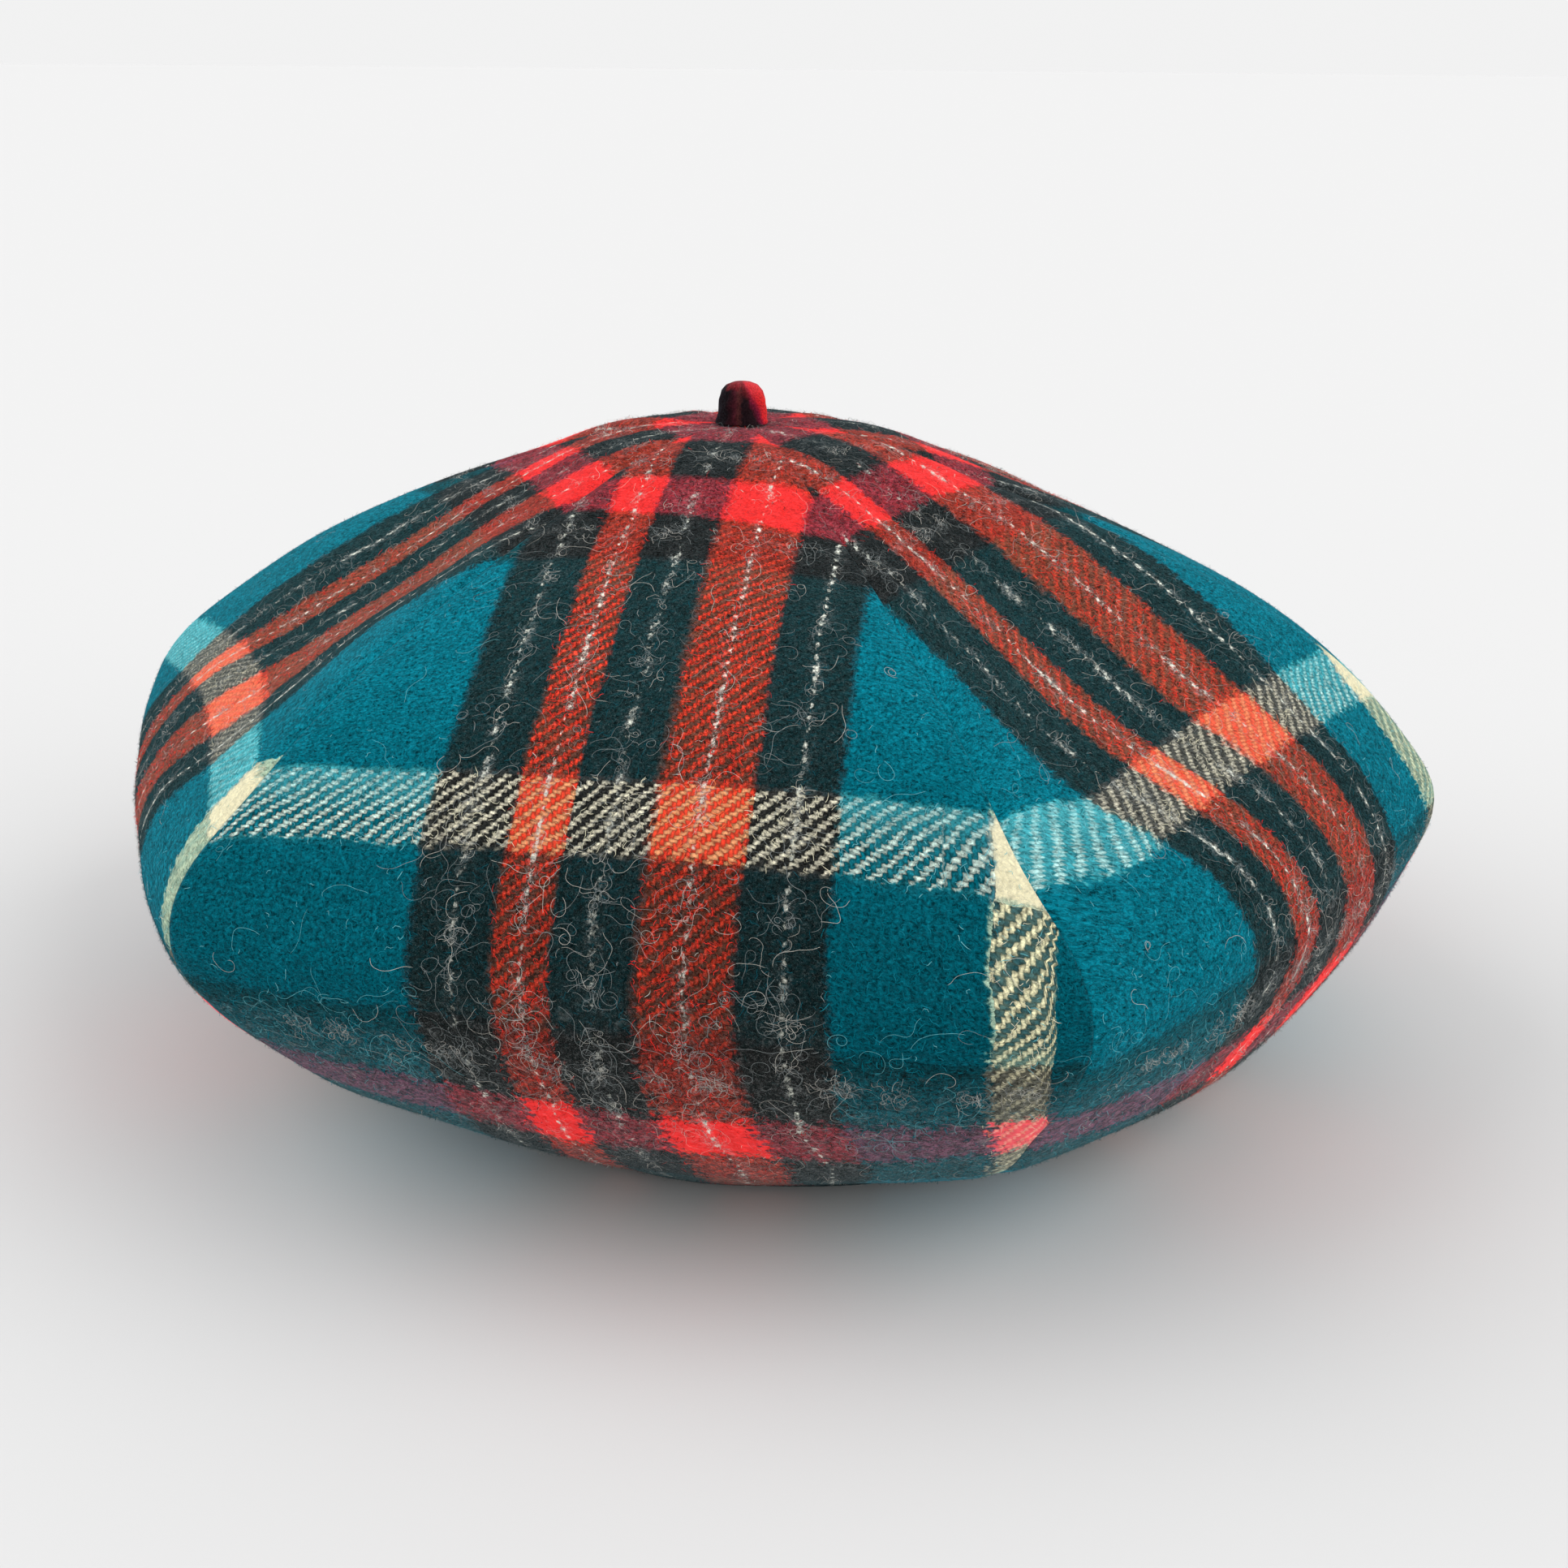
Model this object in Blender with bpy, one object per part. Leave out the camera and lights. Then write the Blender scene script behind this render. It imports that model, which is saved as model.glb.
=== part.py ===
"""Tam o shanter sewn from six tartan gores, with a short rolled stalk, resting on its hem.

Metres, +Z up, the photographed front faces -Y, and Z = 0 is the surface the hem stands on.
Every gore shares one meridian, given by the SECTIONS table. Between its seams a gore is a
little flatter than round, so the seams stand out as six soft corners. The gores then sag and
shift a little, as soft cloth does.
"""
import math

import bmesh
import bpy

MM = 0.001

# Crown
GORE_COUNT = 6
FRONT_GORE_TURN = math.radians(-12.0)
CLOTH_THICKNESS = 2.2 * MM
SEAM_GAP = 0.3 * MM
GORE_COLUMNS = 10
GORE_ROWS = 26

# Horizontal sections from the apex down to the hem, in millimetres: radius at the middle of a
# gore, height over the resting surface, extra radius at a seam as a fraction, and how far the
# section's centre leans to the right and to the back.
SECTIONS = [
    # name, radius, height, seam_growth, lean_right, lean_back
    ("apex", 0.0, 127.7, 0.000, -1.7, -3.4),
    ("tip", 26.3, 126.0, 0.005, -1.4, -3.3),
    ("upper_crown", 51.5, 117.5, 0.026, -0.7, -3.0),
    ("crown", 75.8, 107.7, 0.059, 0.5, -2.5),
    ("lower_crown", 96.9, 95.9, 0.085, 1.4, -2.0),
    ("shoulder", 113.1, 81.6, 0.113, 1.1, -1.4),
    ("upper_edge", 124.5, 68.0, 0.120, 0.6, -0.8),
    ("edge", 130.9, 56.1, 0.108, 0.9, -0.3),
    ("lower_edge", 130.6, 44.5, 0.085, 2.6, 0.3),
    ("turn", 125.4, 31.7, 0.062, 5.0, 0.8),
    ("underside", 114.5, 16.8, 0.039, 8.1, 1.5),
    ("head_opening", 93.7, 0.8, 0.000, 9.4, 2.2),
]
SECTION_COLUMNS = ("radius", "height", "seam_growth", "lean_right", "lean_back")

# The cloth at rest, at the same rows. The front gore is pulled wide over the edge, so its two
# seams stand off their even spacing, in degrees; a seam has the number of the gore to its left.
# The other gores sag between their seams, in millimetres at the middle of the gore, and the
# right one swells at the edge; the two side gores sag deepest towards the front gore.
SEAM_SHIFTS = {
    1: (0.0, 0.0, 0.0, 0.0, 0.0, 1.1, 3.4, 3.6, 2.5, 1.0, 0.0, 0.0),
    6: (0.0, 0.0, 0.0, 0.0, -0.6, -0.8, -1.8, -1.2, -0.4, 0.0, 0.0, 0.0),
}
PLAIN_SAG = (0.0, 0.0, 0.5, 2.2, 2.1, 0.7, 0.1, 0.0, 0.0, 0.0, 0.0, 0.0)
GORE_SAGS = {
    1: (0.0,) * 12,
    2: (0.0, 0.1, 1.3, 5.2, 5.0, 1.0, -2.0, -2.1, -0.9, -0.2, 0.0, 0.0),
    3: PLAIN_SAG,
    4: PLAIN_SAG,
    5: PLAIN_SAG,
    6: (0.0, 0.1, 1.4, 5.6, 5.4, 1.7, 0.3, 0.0, 0.0, 0.0, 0.0, 0.0),
}
SAG_LEANS = {2: -0.25, 6: 0.25}

# Hem: a plain rolled edge round the head opening, as a cross-section walked from its flat foot
HEM_SEGMENTS = GORE_COUNT * GORE_COLUMNS
HEM_WIDTH = 5.2 * MM
HEM_HEIGHT = 5.2 * MM
HEM_CORNER = 1.5 * MM

# Stalk: a short roll of the same cloth, sewn through the hole where the gores meet
STALK_SEGMENTS = 24
STALK_HOLE_RADIUS = 3.4 * MM
STALK_ROOT_RADIUS = 3.1 * MM
STALK_ROOT_DEPTH = 3.2 * MM
STALK_PROFILE = [
    # radius and height over the crown, in millimetres
    (5.5, 0.3),
    (5.2, 1.2),
    (5.0, 3.0),
    (4.8, 5.0),
    (4.3, 6.7),
    (3.3, 7.9),
    (1.8, 8.5),
]
STALK_TOP = 8.6 * MM
CREASE_DEPTH_SHARE = 0.18
CREASE_FADE_RADIUS = 3.0 * MM
CREASE_HALF_ANGLE = math.radians(17.0)
CREASE_TURN = math.radians(-10.0)

TEAL_WOOL = (0.006, 0.17, 0.22, 1.0)
RED_WOOL = (0.42, 0.03, 0.02, 1.0)
DARK_WOOL = (0.012, 0.02, 0.02, 1.0)


def clear_scene():
    for obj in list(bpy.data.objects):
        bpy.data.objects.remove(obj, do_unlink=True)


def wool_material(name, colour):
    material = bpy.data.materials.new(name)
    material.use_nodes = True
    shader = material.node_tree.nodes["Principled BSDF"]
    shader.inputs["Base Color"].default_value = colour
    shader.inputs["Roughness"].default_value = 0.95
    shader.inputs["Metallic"].default_value = 0.0
    return material


def column_values(column):
    """One column of SECTIONS in metres, or as it stands for the fraction."""
    index = SECTION_COLUMNS.index(column) + 1
    scale = 1.0 if column == "seam_growth" else MM
    return [row[index] * scale for row in SECTIONS]


COLUMNS = {column: column_values(column) for column in SECTION_COLUMNS}
for seam_number, shifts in SEAM_SHIFTS.items():
    COLUMNS[f"seam_{seam_number}_shift"] = [math.radians(shift) for shift in shifts]
for gore_number, sags in GORE_SAGS.items():
    COLUMNS[f"gore_{gore_number}_sag"] = [sag * MM for sag in sags]
LAST_SECTION = len(SECTIONS) - 1


def section_value(column, place):
    """Smooth (Catmull-Rom) value of a column of COLUMNS at a fractional row of SECTIONS."""
    values = COLUMNS[column]
    first = min(int(place), LAST_SECTION - 1)
    part = place - first
    before = values[first - 1] if first > 0 else mirrored_over_apex(column)
    after = values[first + 2] if first + 2 <= LAST_SECTION else 2 * values[-1] - values[-2]
    start, end = values[first], values[first + 1]
    slope_start = (end - before) / 2
    slope_end = (after - start) / 2
    return (start * (1 + 2 * part) * (1 - part) ** 2
            + slope_start * part * (1 - part) ** 2
            + end * part ** 2 * (3 - 2 * part)
            + slope_end * part ** 2 * (part - 1))


def mirrored_over_apex(column):
    """The row before the apex: the meridian runs on over the top, so its radius changes sign."""
    value = COLUMNS[column][1]
    return -value if column == "radius" else value


def seam_half_angle():
    return math.pi / GORE_COUNT


def local_radius(place, offset):
    """Radius at an azimuth offset from the middle of a gore."""
    bulge = section_value("seam_growth", place) * (offset / seam_half_angle()) ** 2
    return section_value("radius", place) * (1 + bulge)


def radial_point(place, azimuth, radius, height):
    """A point at a radius from a section's leaning centre. Azimuth 0 is the front."""
    x = radius * math.sin(azimuth) + section_value("lean_right", place)
    y = -radius * math.cos(azimuth) + section_value("lean_back", place)
    return (x, y, height)


def wall_azimuth(place, gore, offset):
    """Azimuth of a point that would lie at this offset if the seams were evenly spaced."""
    seam = gore + 1 if offset > 0 else gore or GORE_COUNT
    shift = section_value(f"seam_{seam}_shift", place) if seam in SEAM_SHIFTS else 0.0
    even = FRONT_GORE_TURN + gore * 2 * seam_half_angle() + offset
    return even + shift * abs(offset) / seam_half_angle()


def sag_depth(place, gore, offset):
    """How far the cloth sags under the even form, nothing at the seams."""
    share = offset / seam_half_angle()
    leaning = share - SAG_LEANS.get(gore + 1, 0.0) * (1 - share ** 2)
    return section_value(f"gore_{gore + 1}_sag", place) * math.cos(math.pi / 2 * leaning) ** 2


def wall_points(place, gore, offset):
    """Outer and inner point of the cloth wall, both in the vertical plane of one azimuth."""
    azimuth = wall_azimuth(place, gore, offset)
    step = 0.01
    low = max(place - step, 0.0)
    high = min(place + step, LAST_SECTION)
    run = local_radius(high, offset) - local_radius(low, offset)
    rise = section_value("height", high) - section_value("height", low)
    length = math.hypot(run, rise)
    outward, upward = -rise / length, run / length
    radius = local_radius(place, offset)
    height = section_value("height", place)
    growth = section_value("seam_growth", place)
    turn = outward * section_value("radius", place) * growth * 2 * offset / seam_half_angle() ** 2
    slant = math.hypot(1.0, turn / radius)
    sag = sag_depth(place, gore, offset)

    def point_at(depth):
        depth *= slant
        return radial_point(place, azimuth, radius - depth * outward, height - depth * upward)

    return point_at(sag), point_at(sag + CLOTH_THICKNESS), azimuth


def sideways(point, azimuth, distance):
    """A point moved along the direction of growing azimuth."""
    x, y, z = point
    return (x + distance * math.cos(azimuth), y + distance * math.sin(azimuth), z)


def first_gore_place():
    """Fractional row where the meridian leaves the stalk's hole."""
    low, high = 0.0, 1.0
    for _ in range(40):
        middle = (low + high) / 2
        if section_value("radius", middle) < STALK_HOLE_RADIUS:
            low = middle
        else:
            high = middle
    return high


def gore_grids(gore):
    """Outer and inner grid of a gore, rows from the stalk's hole down to the hem."""
    start = first_gore_place()
    outer_rows, inner_rows = [], []
    for row in range(GORE_ROWS + 1):
        place = start + (LAST_SECTION - start) * row / GORE_ROWS
        outer_row, inner_row = [], []
        for column in range(GORE_COLUMNS + 1):
            offset = seam_half_angle() * (2 * column / GORE_COLUMNS - 1)
            outer, inner, azimuth = wall_points(place, gore, offset)
            shift = 0.0
            if column == 0:
                shift = SEAM_GAP / 2
            elif column == GORE_COLUMNS:
                shift = -SEAM_GAP / 2
            outer_row.append(sideways(outer, azimuth, shift))
            inner_row.append(sideways(inner, azimuth, shift))
        outer_rows.append(outer_row)
        inner_rows.append(inner_row)
    return outer_rows, inner_rows


def plan_middle():
    """Middle of the crown's box seen from above."""
    points = []
    for gore in range(GORE_COUNT):
        for row in gore_grids(gore)[0]:
            points.extend(row)
    xs = [point[0] for point in points]
    ys = [point[1] for point in points]
    return (min(xs) + max(xs)) / 2, (min(ys) + max(ys)) / 2


def add_object(name, bm, material, centre):
    """Finish a bmesh as a smooth-shaded object with the crown's box centred on the origin."""
    bmesh.ops.translate(bm, verts=bm.verts, vec=(-centre[0], -centre[1], 0.0))
    bmesh.ops.recalc_face_normals(bm, faces=bm.faces)
    mesh = bpy.data.meshes.new(name)
    bm.to_mesh(mesh)
    bm.free()
    mesh.materials.append(material)
    mesh.shade_smooth()
    mesh.set_sharp_from_angle(angle=math.radians(45.0))
    obj = bpy.data.objects.new(name, mesh)
    bpy.context.scene.collection.objects.link(obj)
    return obj


def grid_faces(bm, rows):
    for upper, lower in zip(rows, rows[1:]):
        for column in range(len(upper) - 1):
            bm.faces.new((upper[column], lower[column], lower[column + 1], upper[column + 1]))


def make_gore(gore, material, centre):
    outer_rows, inner_rows = gore_grids(gore)
    bm = bmesh.new()
    outer = [[bm.verts.new(point) for point in row] for row in outer_rows]
    inner = [[bm.verts.new(point) for point in row] for row in inner_rows]
    grid_faces(bm, outer)
    grid_faces(bm, inner)
    for side in (0, -1):
        grid_faces(bm, [[o[side], i[side]] for o, i in zip(outer, inner)])
    grid_faces(bm, [outer[0], inner[0]])
    grid_faces(bm, [outer[-1], inner[-1]])
    return add_object(f"gore_{gore + 1}", bm, material, centre)


def hem_section():
    """Cross-section of the hem, as radius and height, starting at the foot's outer end.

    Its slanting outer side faces the gores' lower edge across the seam gap.
    """
    outer, inner, _ = wall_points(LAST_SECTION, 0, 0.0)
    lower_x, lower_y = outer[0], outer[1]
    upper_x, upper_y = inner[0], inner[1]
    lean_x = section_value("lean_right", LAST_SECTION)
    lean_y = section_value("lean_back", LAST_SECTION)
    lower = (math.hypot(lower_x - lean_x, lower_y - lean_y), outer[2])
    upper = (math.hypot(upper_x - lean_x, upper_y - lean_y), inner[2])
    length = math.hypot(upper[0] - lower[0], upper[1] - lower[1])
    along = ((upper[0] - lower[0]) / length, (upper[1] - lower[1]) / length)
    inward = (-along[1] * SEAM_GAP, along[0] * SEAM_GAP)
    lower = (lower[0] + inward[0], lower[1] + inward[1])
    upper = (upper[0] + inward[0], upper[1] + inward[1])
    inner_radius = lower[0] - HEM_WIDTH
    return [
        (lower[0] - 0.4 * HEM_CORNER, 0.0),
        lower,
        upper,
        (upper[0] - 0.3 * HEM_CORNER, HEM_HEIGHT - 0.3 * HEM_CORNER),
        (upper[0] - HEM_CORNER, HEM_HEIGHT),
        (inner_radius + HEM_CORNER, HEM_HEIGHT),
        (inner_radius + 0.3 * HEM_CORNER, HEM_HEIGHT - 0.3 * HEM_CORNER),
        (inner_radius, HEM_HEIGHT - HEM_CORNER),
        (inner_radius, 0.6 * HEM_CORNER),
        (inner_radius + 0.6 * HEM_CORNER, 0.0),
    ]


def make_hem(material, centre):
    section = hem_section()
    bm = bmesh.new()
    rings = []
    for segment in range(HEM_SEGMENTS):
        azimuth = FRONT_GORE_TURN + 2 * math.pi * segment / HEM_SEGMENTS
        ring = [bm.verts.new(radial_point(LAST_SECTION, azimuth, radius, height))
                for radius, height in section]
        ring.append(ring[0])
        rings.append(ring)
    rings.append(rings[0])
    grid_faces(bm, rings)
    return add_object("hem", bm, material, centre)


def crease_factor(angle, radius):
    """How much of a stalk radius is left at an angle, under the roll's upright crease."""
    away = math.remainder(angle - CREASE_TURN, 2 * math.pi) / CREASE_HALF_ANGLE
    fade = min(1.0, radius / CREASE_FADE_RADIUS)
    return 1 - CREASE_DEPTH_SHARE * fade * math.exp(-away * away)


def make_stalk(material, centre):
    crown_top = section_value("height", 0.0)
    root_rings = [(STALK_ROOT_RADIUS, -STALK_ROOT_DEPTH), (STALK_ROOT_RADIUS, SEAM_GAP)]
    roll_rings = [(radius * MM, height * MM) for radius, height in STALK_PROFILE]
    bm = bmesh.new()
    rings = []
    for index, (radius, height) in enumerate(root_rings + roll_rings):
        ring = []
        for segment in range(STALK_SEGMENTS):
            angle = 2 * math.pi * segment / STALK_SEGMENTS
            factor = 1.0 if index < len(root_rings) else crease_factor(angle, radius)
            point = radial_point(0.0, angle, radius * factor, crown_top + height)
            ring.append(bm.verts.new(point))
        ring.append(ring[0])
        rings.append(ring)
    grid_faces(bm, rings)
    bottom = bm.verts.new(radial_point(0.0, 0.0, 0.0, crown_top - STALK_ROOT_DEPTH))
    top = bm.verts.new(radial_point(0.0, 0.0, 0.0, crown_top + STALK_TOP))
    for segment in range(STALK_SEGMENTS):
        bm.faces.new((rings[0][segment], rings[0][segment + 1], bottom))
        bm.faces.new((rings[-1][segment], rings[-1][segment + 1], top))
    return add_object("stalk", bm, material, centre)


def main():
    clear_scene()
    teal = wool_material("tartan_wool", TEAL_WOOL)
    red = wool_material("stalk_wool", RED_WOOL)
    dark = wool_material("hem_wool", DARK_WOOL)
    centre = plan_middle()
    for gore in range(GORE_COUNT):
        make_gore(gore, teal, centre)
    make_hem(dark, centre)
    make_stalk(red, centre)


main()
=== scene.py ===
"""Looks of the tam o shanter: fulled tartan wool, its nap and loose hairs, and the stage.

Metres in the frame's coordinates, +Z up, the photographed front towards -Y. Tables and cloth
coordinates are in millimetres. Cloth coordinates lie on the flat cloth of one gore: u runs across
it from its middle line and v down it from the apex, so every gore is cut alike from one tartan.
"""
import math
from functools import partialmethod

import bpy
import numpy as np
from mathutils import Matrix


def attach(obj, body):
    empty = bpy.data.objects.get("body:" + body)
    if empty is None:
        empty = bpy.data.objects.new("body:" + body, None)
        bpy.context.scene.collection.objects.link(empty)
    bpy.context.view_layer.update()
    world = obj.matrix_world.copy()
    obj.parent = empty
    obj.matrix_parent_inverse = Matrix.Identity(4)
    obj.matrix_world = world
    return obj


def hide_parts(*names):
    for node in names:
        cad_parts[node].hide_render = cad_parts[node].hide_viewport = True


MM = 0.001

# The crown's shape, as built
GORE_COUNT = 6
FRONT_GORE_TURN = math.radians(-12.0)
SEAM_HALF_ANGLE = math.pi / GORE_COUNT
SECTION_COLUMNS = ("radius", "height", "seam_growth", "lean_right", "lean_back")
SECTIONS = [
    # name, radius, height, seam growth as a fraction, leans
    ("apex", 0.0, 127.7, 0.000, -1.7, -3.4),
    ("tip", 26.3, 126.0, 0.005, -1.4, -3.3),
    ("upper_crown", 51.5, 117.5, 0.026, -0.7, -3.0),
    ("crown", 75.8, 107.7, 0.059, 0.5, -2.5),
    ("lower_crown", 96.9, 95.9, 0.085, 1.4, -2.0),
    ("shoulder", 113.1, 81.6, 0.113, 1.1, -1.4),
    ("upper_edge", 124.5, 68.0, 0.120, 0.6, -0.8),
    ("edge", 130.9, 56.1, 0.108, 0.9, -0.3),
    ("lower_edge", 130.6, 44.5, 0.085, 2.6, 0.3),
    ("turn", 125.4, 31.7, 0.062, 5.0, 0.8),
    ("underside", 114.5, 16.8, 0.039, 8.1, 1.5),
    ("head_opening", 93.7, 0.8, 0.000, 9.4, 2.2),
]
LAST_SECTION = len(SECTIONS) - 1
SEAM_SHIFTS = {
    # how far a seam stands off its even spacing at each section, in degrees
    1: (0, 0, 0, 0, 0, 1.1, 3.4, 3.6, 2.5, 1, 0, 0),
    6: (0, 0, 0, 0, -0.6, -0.8, -1.8, -1.2, -0.4, 0, 0, 0),
}
PLAIN_SAG = (0, 0, 0.5, 2.2, 2.1, 0.7, 0.1, 0, 0, 0, 0, 0)
GORE_SAGS = {
    # how far the middle of a gore sags at each section
    1: (0,) * 12,
    2: (0, 0.1, 1.3, 5.2, 5, 1, -2, -2.1, -0.9, -0.2, 0, 0),
    3: PLAIN_SAG, 4: PLAIN_SAG, 5: PLAIN_SAG,
    6: (0, 0.1, 1.4, 5.6, 5.4, 1.7, 0.3, 0, 0, 0, 0, 0),
}
SAG_LEANS = {2: -0.25, 6: 0.25}
CLOTH_THICKNESS = 2.2
STALK_HOLE_RADIUS = 3.4
STALK_ROOT = [(3.1, -3.2), (3.1, 0.3)]
STALK_TOP = 8.6
STALK_PROFILE = [
    (5.5, 0.3), (5.2, 1.2), (5.0, 3.0), (4.8, 5.0), (4.3, 6.7), (3.3, 7.9), (1.8, 8.5), (0.0, STALK_TOP),
]
STALK_LAST_RING = 0.985
CREASE_DEPTH_SHARE = 0.18
CREASE_FADE_RADIUS = 3.0
CREASE_HALF_ANGLE = math.radians(17.0)
CREASE_TURN = math.radians(-10.0)
HEM_SECTION = [
    (92.86, 0.0), (93.46, 0.62), (92.12, 2.36), (91.67, 4.75), (90.62, 5.2),
    (89.76, 5.2), (88.71, 4.75), (88.26, 3.7), (88.26, 0.9), (89.16, 0.0),
]

# Mesh steps
COLUMNS, ROWS = 44, 80
SEAM_CROWDING = 0.25
MERIDIAN_SAMPLES = 1200
RISING_SAMPLES = 200
PLAN_COLUMNS, PLAN_ROWS = 11, 27
STALK_SEGMENTS = 96
STALK_RINGS = 34
HEM_SEGMENTS = 144

# Cloth
YARN = 0.72
OPEN_PICK = 1.05
OPEN_PICKS_START = (50.0, 50.2)
SEAM_GROOVE_DEPTH = 0.55
SEAM_GROOVE_WIDTH = 1.8
UNEVENNESS = 0.25
# The third cloth coordinate grows by this from gore to gore, so that no two have the same noise
GORE_STEP = 61.0

# Colour of a yarn, and its share in the matted nap when it is the weft; the share also sets how much
# shade is painted on it where it lies under the warp floats
TEAL = (0.000, 0.155, 0.212, 0.32)
DARK = (0.013, 0.014, 0.014, 0.36)
WARP_RED = (0.95, 0.045, 0.018, 0.50)
WEFT_RED = (0.96, 0.030, 0.055, 0.68)
CREAM = (0.80, 0.735, 0.46, 0.54)
WEFT_CREAM = (0.80, 0.755, 0.58, 0.54)
PALE = (0.78, 0.80, 0.70)
HAZE = (0.50, 0.53, 0.52)
SKY = (0.075, 0.46, 0.56)
WORN_CREAM = (0.40, 0.47, 0.35)
BLACK, WHITE = (0.0, 0.0, 0.0), (1.0, 1.0, 1.0)
FAINTEST = 0.002
# A weft seen through the fluff of a red or a teal warp
WEFT_ON_RED = (1.0, 0.55, 0.32)
RED_FLUFF = (0.07, 0.006, 0.003)
WEFT_ON_TEAL = (0.90, 1.14, 1.30)
# Where a warp is told from the others: teal and cream have this much blue, cream this much red
BLUE_OF_TEAL = (0.08, 0.15)
RED_OF_CREAM = (0.2, 0.5)
WOOL_SURFACE = {
    "Roughness": 0.92, "Specular IOR Level": 0.0,
    "Sheen Weight": 0.13, "Sheen Roughness": 0.28, "Sheen Tint": (0.50, 0.88, 1.0),
}

WARP = [
    # stripes across a gore from its left seam: start from the middle line, colour
    (-101.0, TEAL), (-31.0, DARK), (-16.6, WARP_RED), (-7.6, DARK), (6.5, WARP_RED),
    (21.6, DARK), (35.5, TEAL), (56.6, CREAM), (67.8, TEAL),
]
WEFT = [
    # stripes down a gore from the apex: start, colour
    (0.0, WEFT_RED), (17.3, DARK), (35.3, WEFT_RED), (48.3, DARK), (63.4, TEAL), (116.6, WEFT_CREAM),
    (129.6, TEAL), (158.4, DARK), (176.4, WEFT_RED), (189.4, DARK), (204.5, TEAL),
]
# Single pale yarns: numbers of the warps from the middle line, places of the wefts down the gore
PALE_WARPS = (-33, -17, -1, 19, 40)
PALE_WEFTS = (27.0, 55.0, 166.7)
WARP_RANGE = (-100.8, 100.8)
WEFT_RANGE = (0.0, 244.8)

# How far the cloth is pulled off its straight grain in each gore. Rows go down the gore, and
# their numbers belong to the places across it.
GRAIN_ACROSS = (-60, -35, -5, 28, 58)
FRONT_GRAIN = {
    "u": [
        (60, 1, 1, 0, -1.6, -2), (85, 1, 1, 0, -1.6, -2), (118, 0, 0, 0, 0, 0),
        (132, 0.7, 0.6, 0.6, 0.9, 2.6), (140, 1.2, 1, 1, 1.5, 3.6), (157, 1.5, 1.8, 2.3, 2.7, 5.8),
        (175, 2, 2, 2.2, 2.7, 5.6), (183, 0.8, 0.8, 0.9, 1.9, 4.6), (198, 0, 0, 0.4, 3.5, 4),
        (215, 0, 0, 0, 0, 0),
    ],
    "v": [
        (25, 0, 0, 0, 0, 0), (45, 8, 7, 0, -6, -8), (80, 0, 0, 0, 0, 0),
        (106, 12.2, 5.9, 0, 0.2, 2.5), (118, 11, 5.1, 0, 0.3, 3.7), (124, 10.4, 4.7, 0, 0.1, 2.3),
        (150, 5, 3, 0, -1, -4), (178, 0, 3, 0, -2.7, -10.5),
    ],
}
RIGHT_GRAIN = {
    "u": [
        (30, -1, -1, -2, 0, 0), (45, -2, -2.5, -4.2, 0, 0), (60, -4, -5, -4.7, 0, 0),
        (75, -8, -8.3, -4.5, -1, 0), (90, -10.5, -10.3, -5, -1.5, 0), (100, -10, -10, -5.5, -1.5, -1),
        (110, -7, -7.2, -5.5, -1, -3), (120, -2.5, -2.5, -2.5, 0.5, -5.5), (130, 4, 4, 2, 3, -3.5),
        (140, 10.5, 10.5, 7.2, 7, -0.5), (150, 13.5, 13.5, 11.8, 10.5, 2.5),
        (160, 13, 13, 13.4, 12.5, 5.5), (172, 8.5, 8.5, 9, 9, 6), (184, 0, 0, 0, 2, 3),
    ],
    "v": [
        (80, 0, 0, 0, 0, 0), (108, 16, 2.5, 0, 0.7, 3.5), (120, 14, 2, 0, 1, 5),
        (130, 10, 1.5, 0, 0.8, 4), (160, 0, 0, 0, 0, 0),
    ],
}
LEFT_GRAIN = {
    "u": [
        (30, 2, 3, 5, 0, 0), (45, 8, 9, 10, 0, 0), (70, 6, 8, 9, -4, 0), (90, 3, 4, 8, -6, -4),
        (110, 2, 3, 5.5, 2, -1.5), (116, 1.4, 1.8, 3.7, 3.5, -3), (119, 1, 1, 2.5, 4.5, -8),
        (130, 0, -1, -3, 2, -7), (136, -2.4, -3.8, -5.4, -2, -5.2), (145, -6, -8, -9, -8, 0.5),
        (148, -6, -8, -9, -8, 1.4), (155, -6, -8, -9, -8, 5.9), (165, -6, -8, -9, -8, 10),
        (184, 0, 0, 0, 0, 6),
    ],
    "v": [(100, 0, 0, 0, 0, 0), (120, 0, 0, 0, -1.5, -3), (150, 0, 0, 0, 0, 0)],
}
GRAIN = {0: FRONT_GRAIN, 1: RIGHT_GRAIN, 5: LEFT_GRAIN}
STRAIGHT_SLOPE = 0.093
STRIPE_TAKEN_UP = 3.5

# How far noises push the cloth coordinates about: amount, scale and detail
DRIFT = (1.3, 0.09)
UNEVEN_YARNS = (0.8, 0.5)
UNEVEN_FLOATS = (0.7, 1.6, 2.0)
STALK_UNEVENNESS = (2.5, 0.5, 3.0)
FRAY = (0.75, 3.0)  # scale and detail, the amount grows towards the edge
# Noises of the wool: scale, detail, roughness and distortion
MOTTLE = (1.5, 4.0, 0.75, 0.6)
BROAD_MOTTLE = (0.16, 2.0)
BLOTCHES = (0.55, 3.0, 0.65, 0.7)
WISPS = (0.5, 4.0, 0.65, 1.2)
THINNED = (0.95, 2.0, 0.6)
ROUGH = (1.6, 3.0, 0.7, 0.8)
WORN_PATCHES = (0.42, 3.0, 0.6)
WORN_DOWN_YARN = (0.30, 2.0)
WORN_ACROSS = (0.24, 2.0)
WOOL_MOTTLE = (2.4, 3.0, 0.65)
WOOL_FIBRES = (1.15, 0.035, 1.2)  # scale, width, wander
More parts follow.
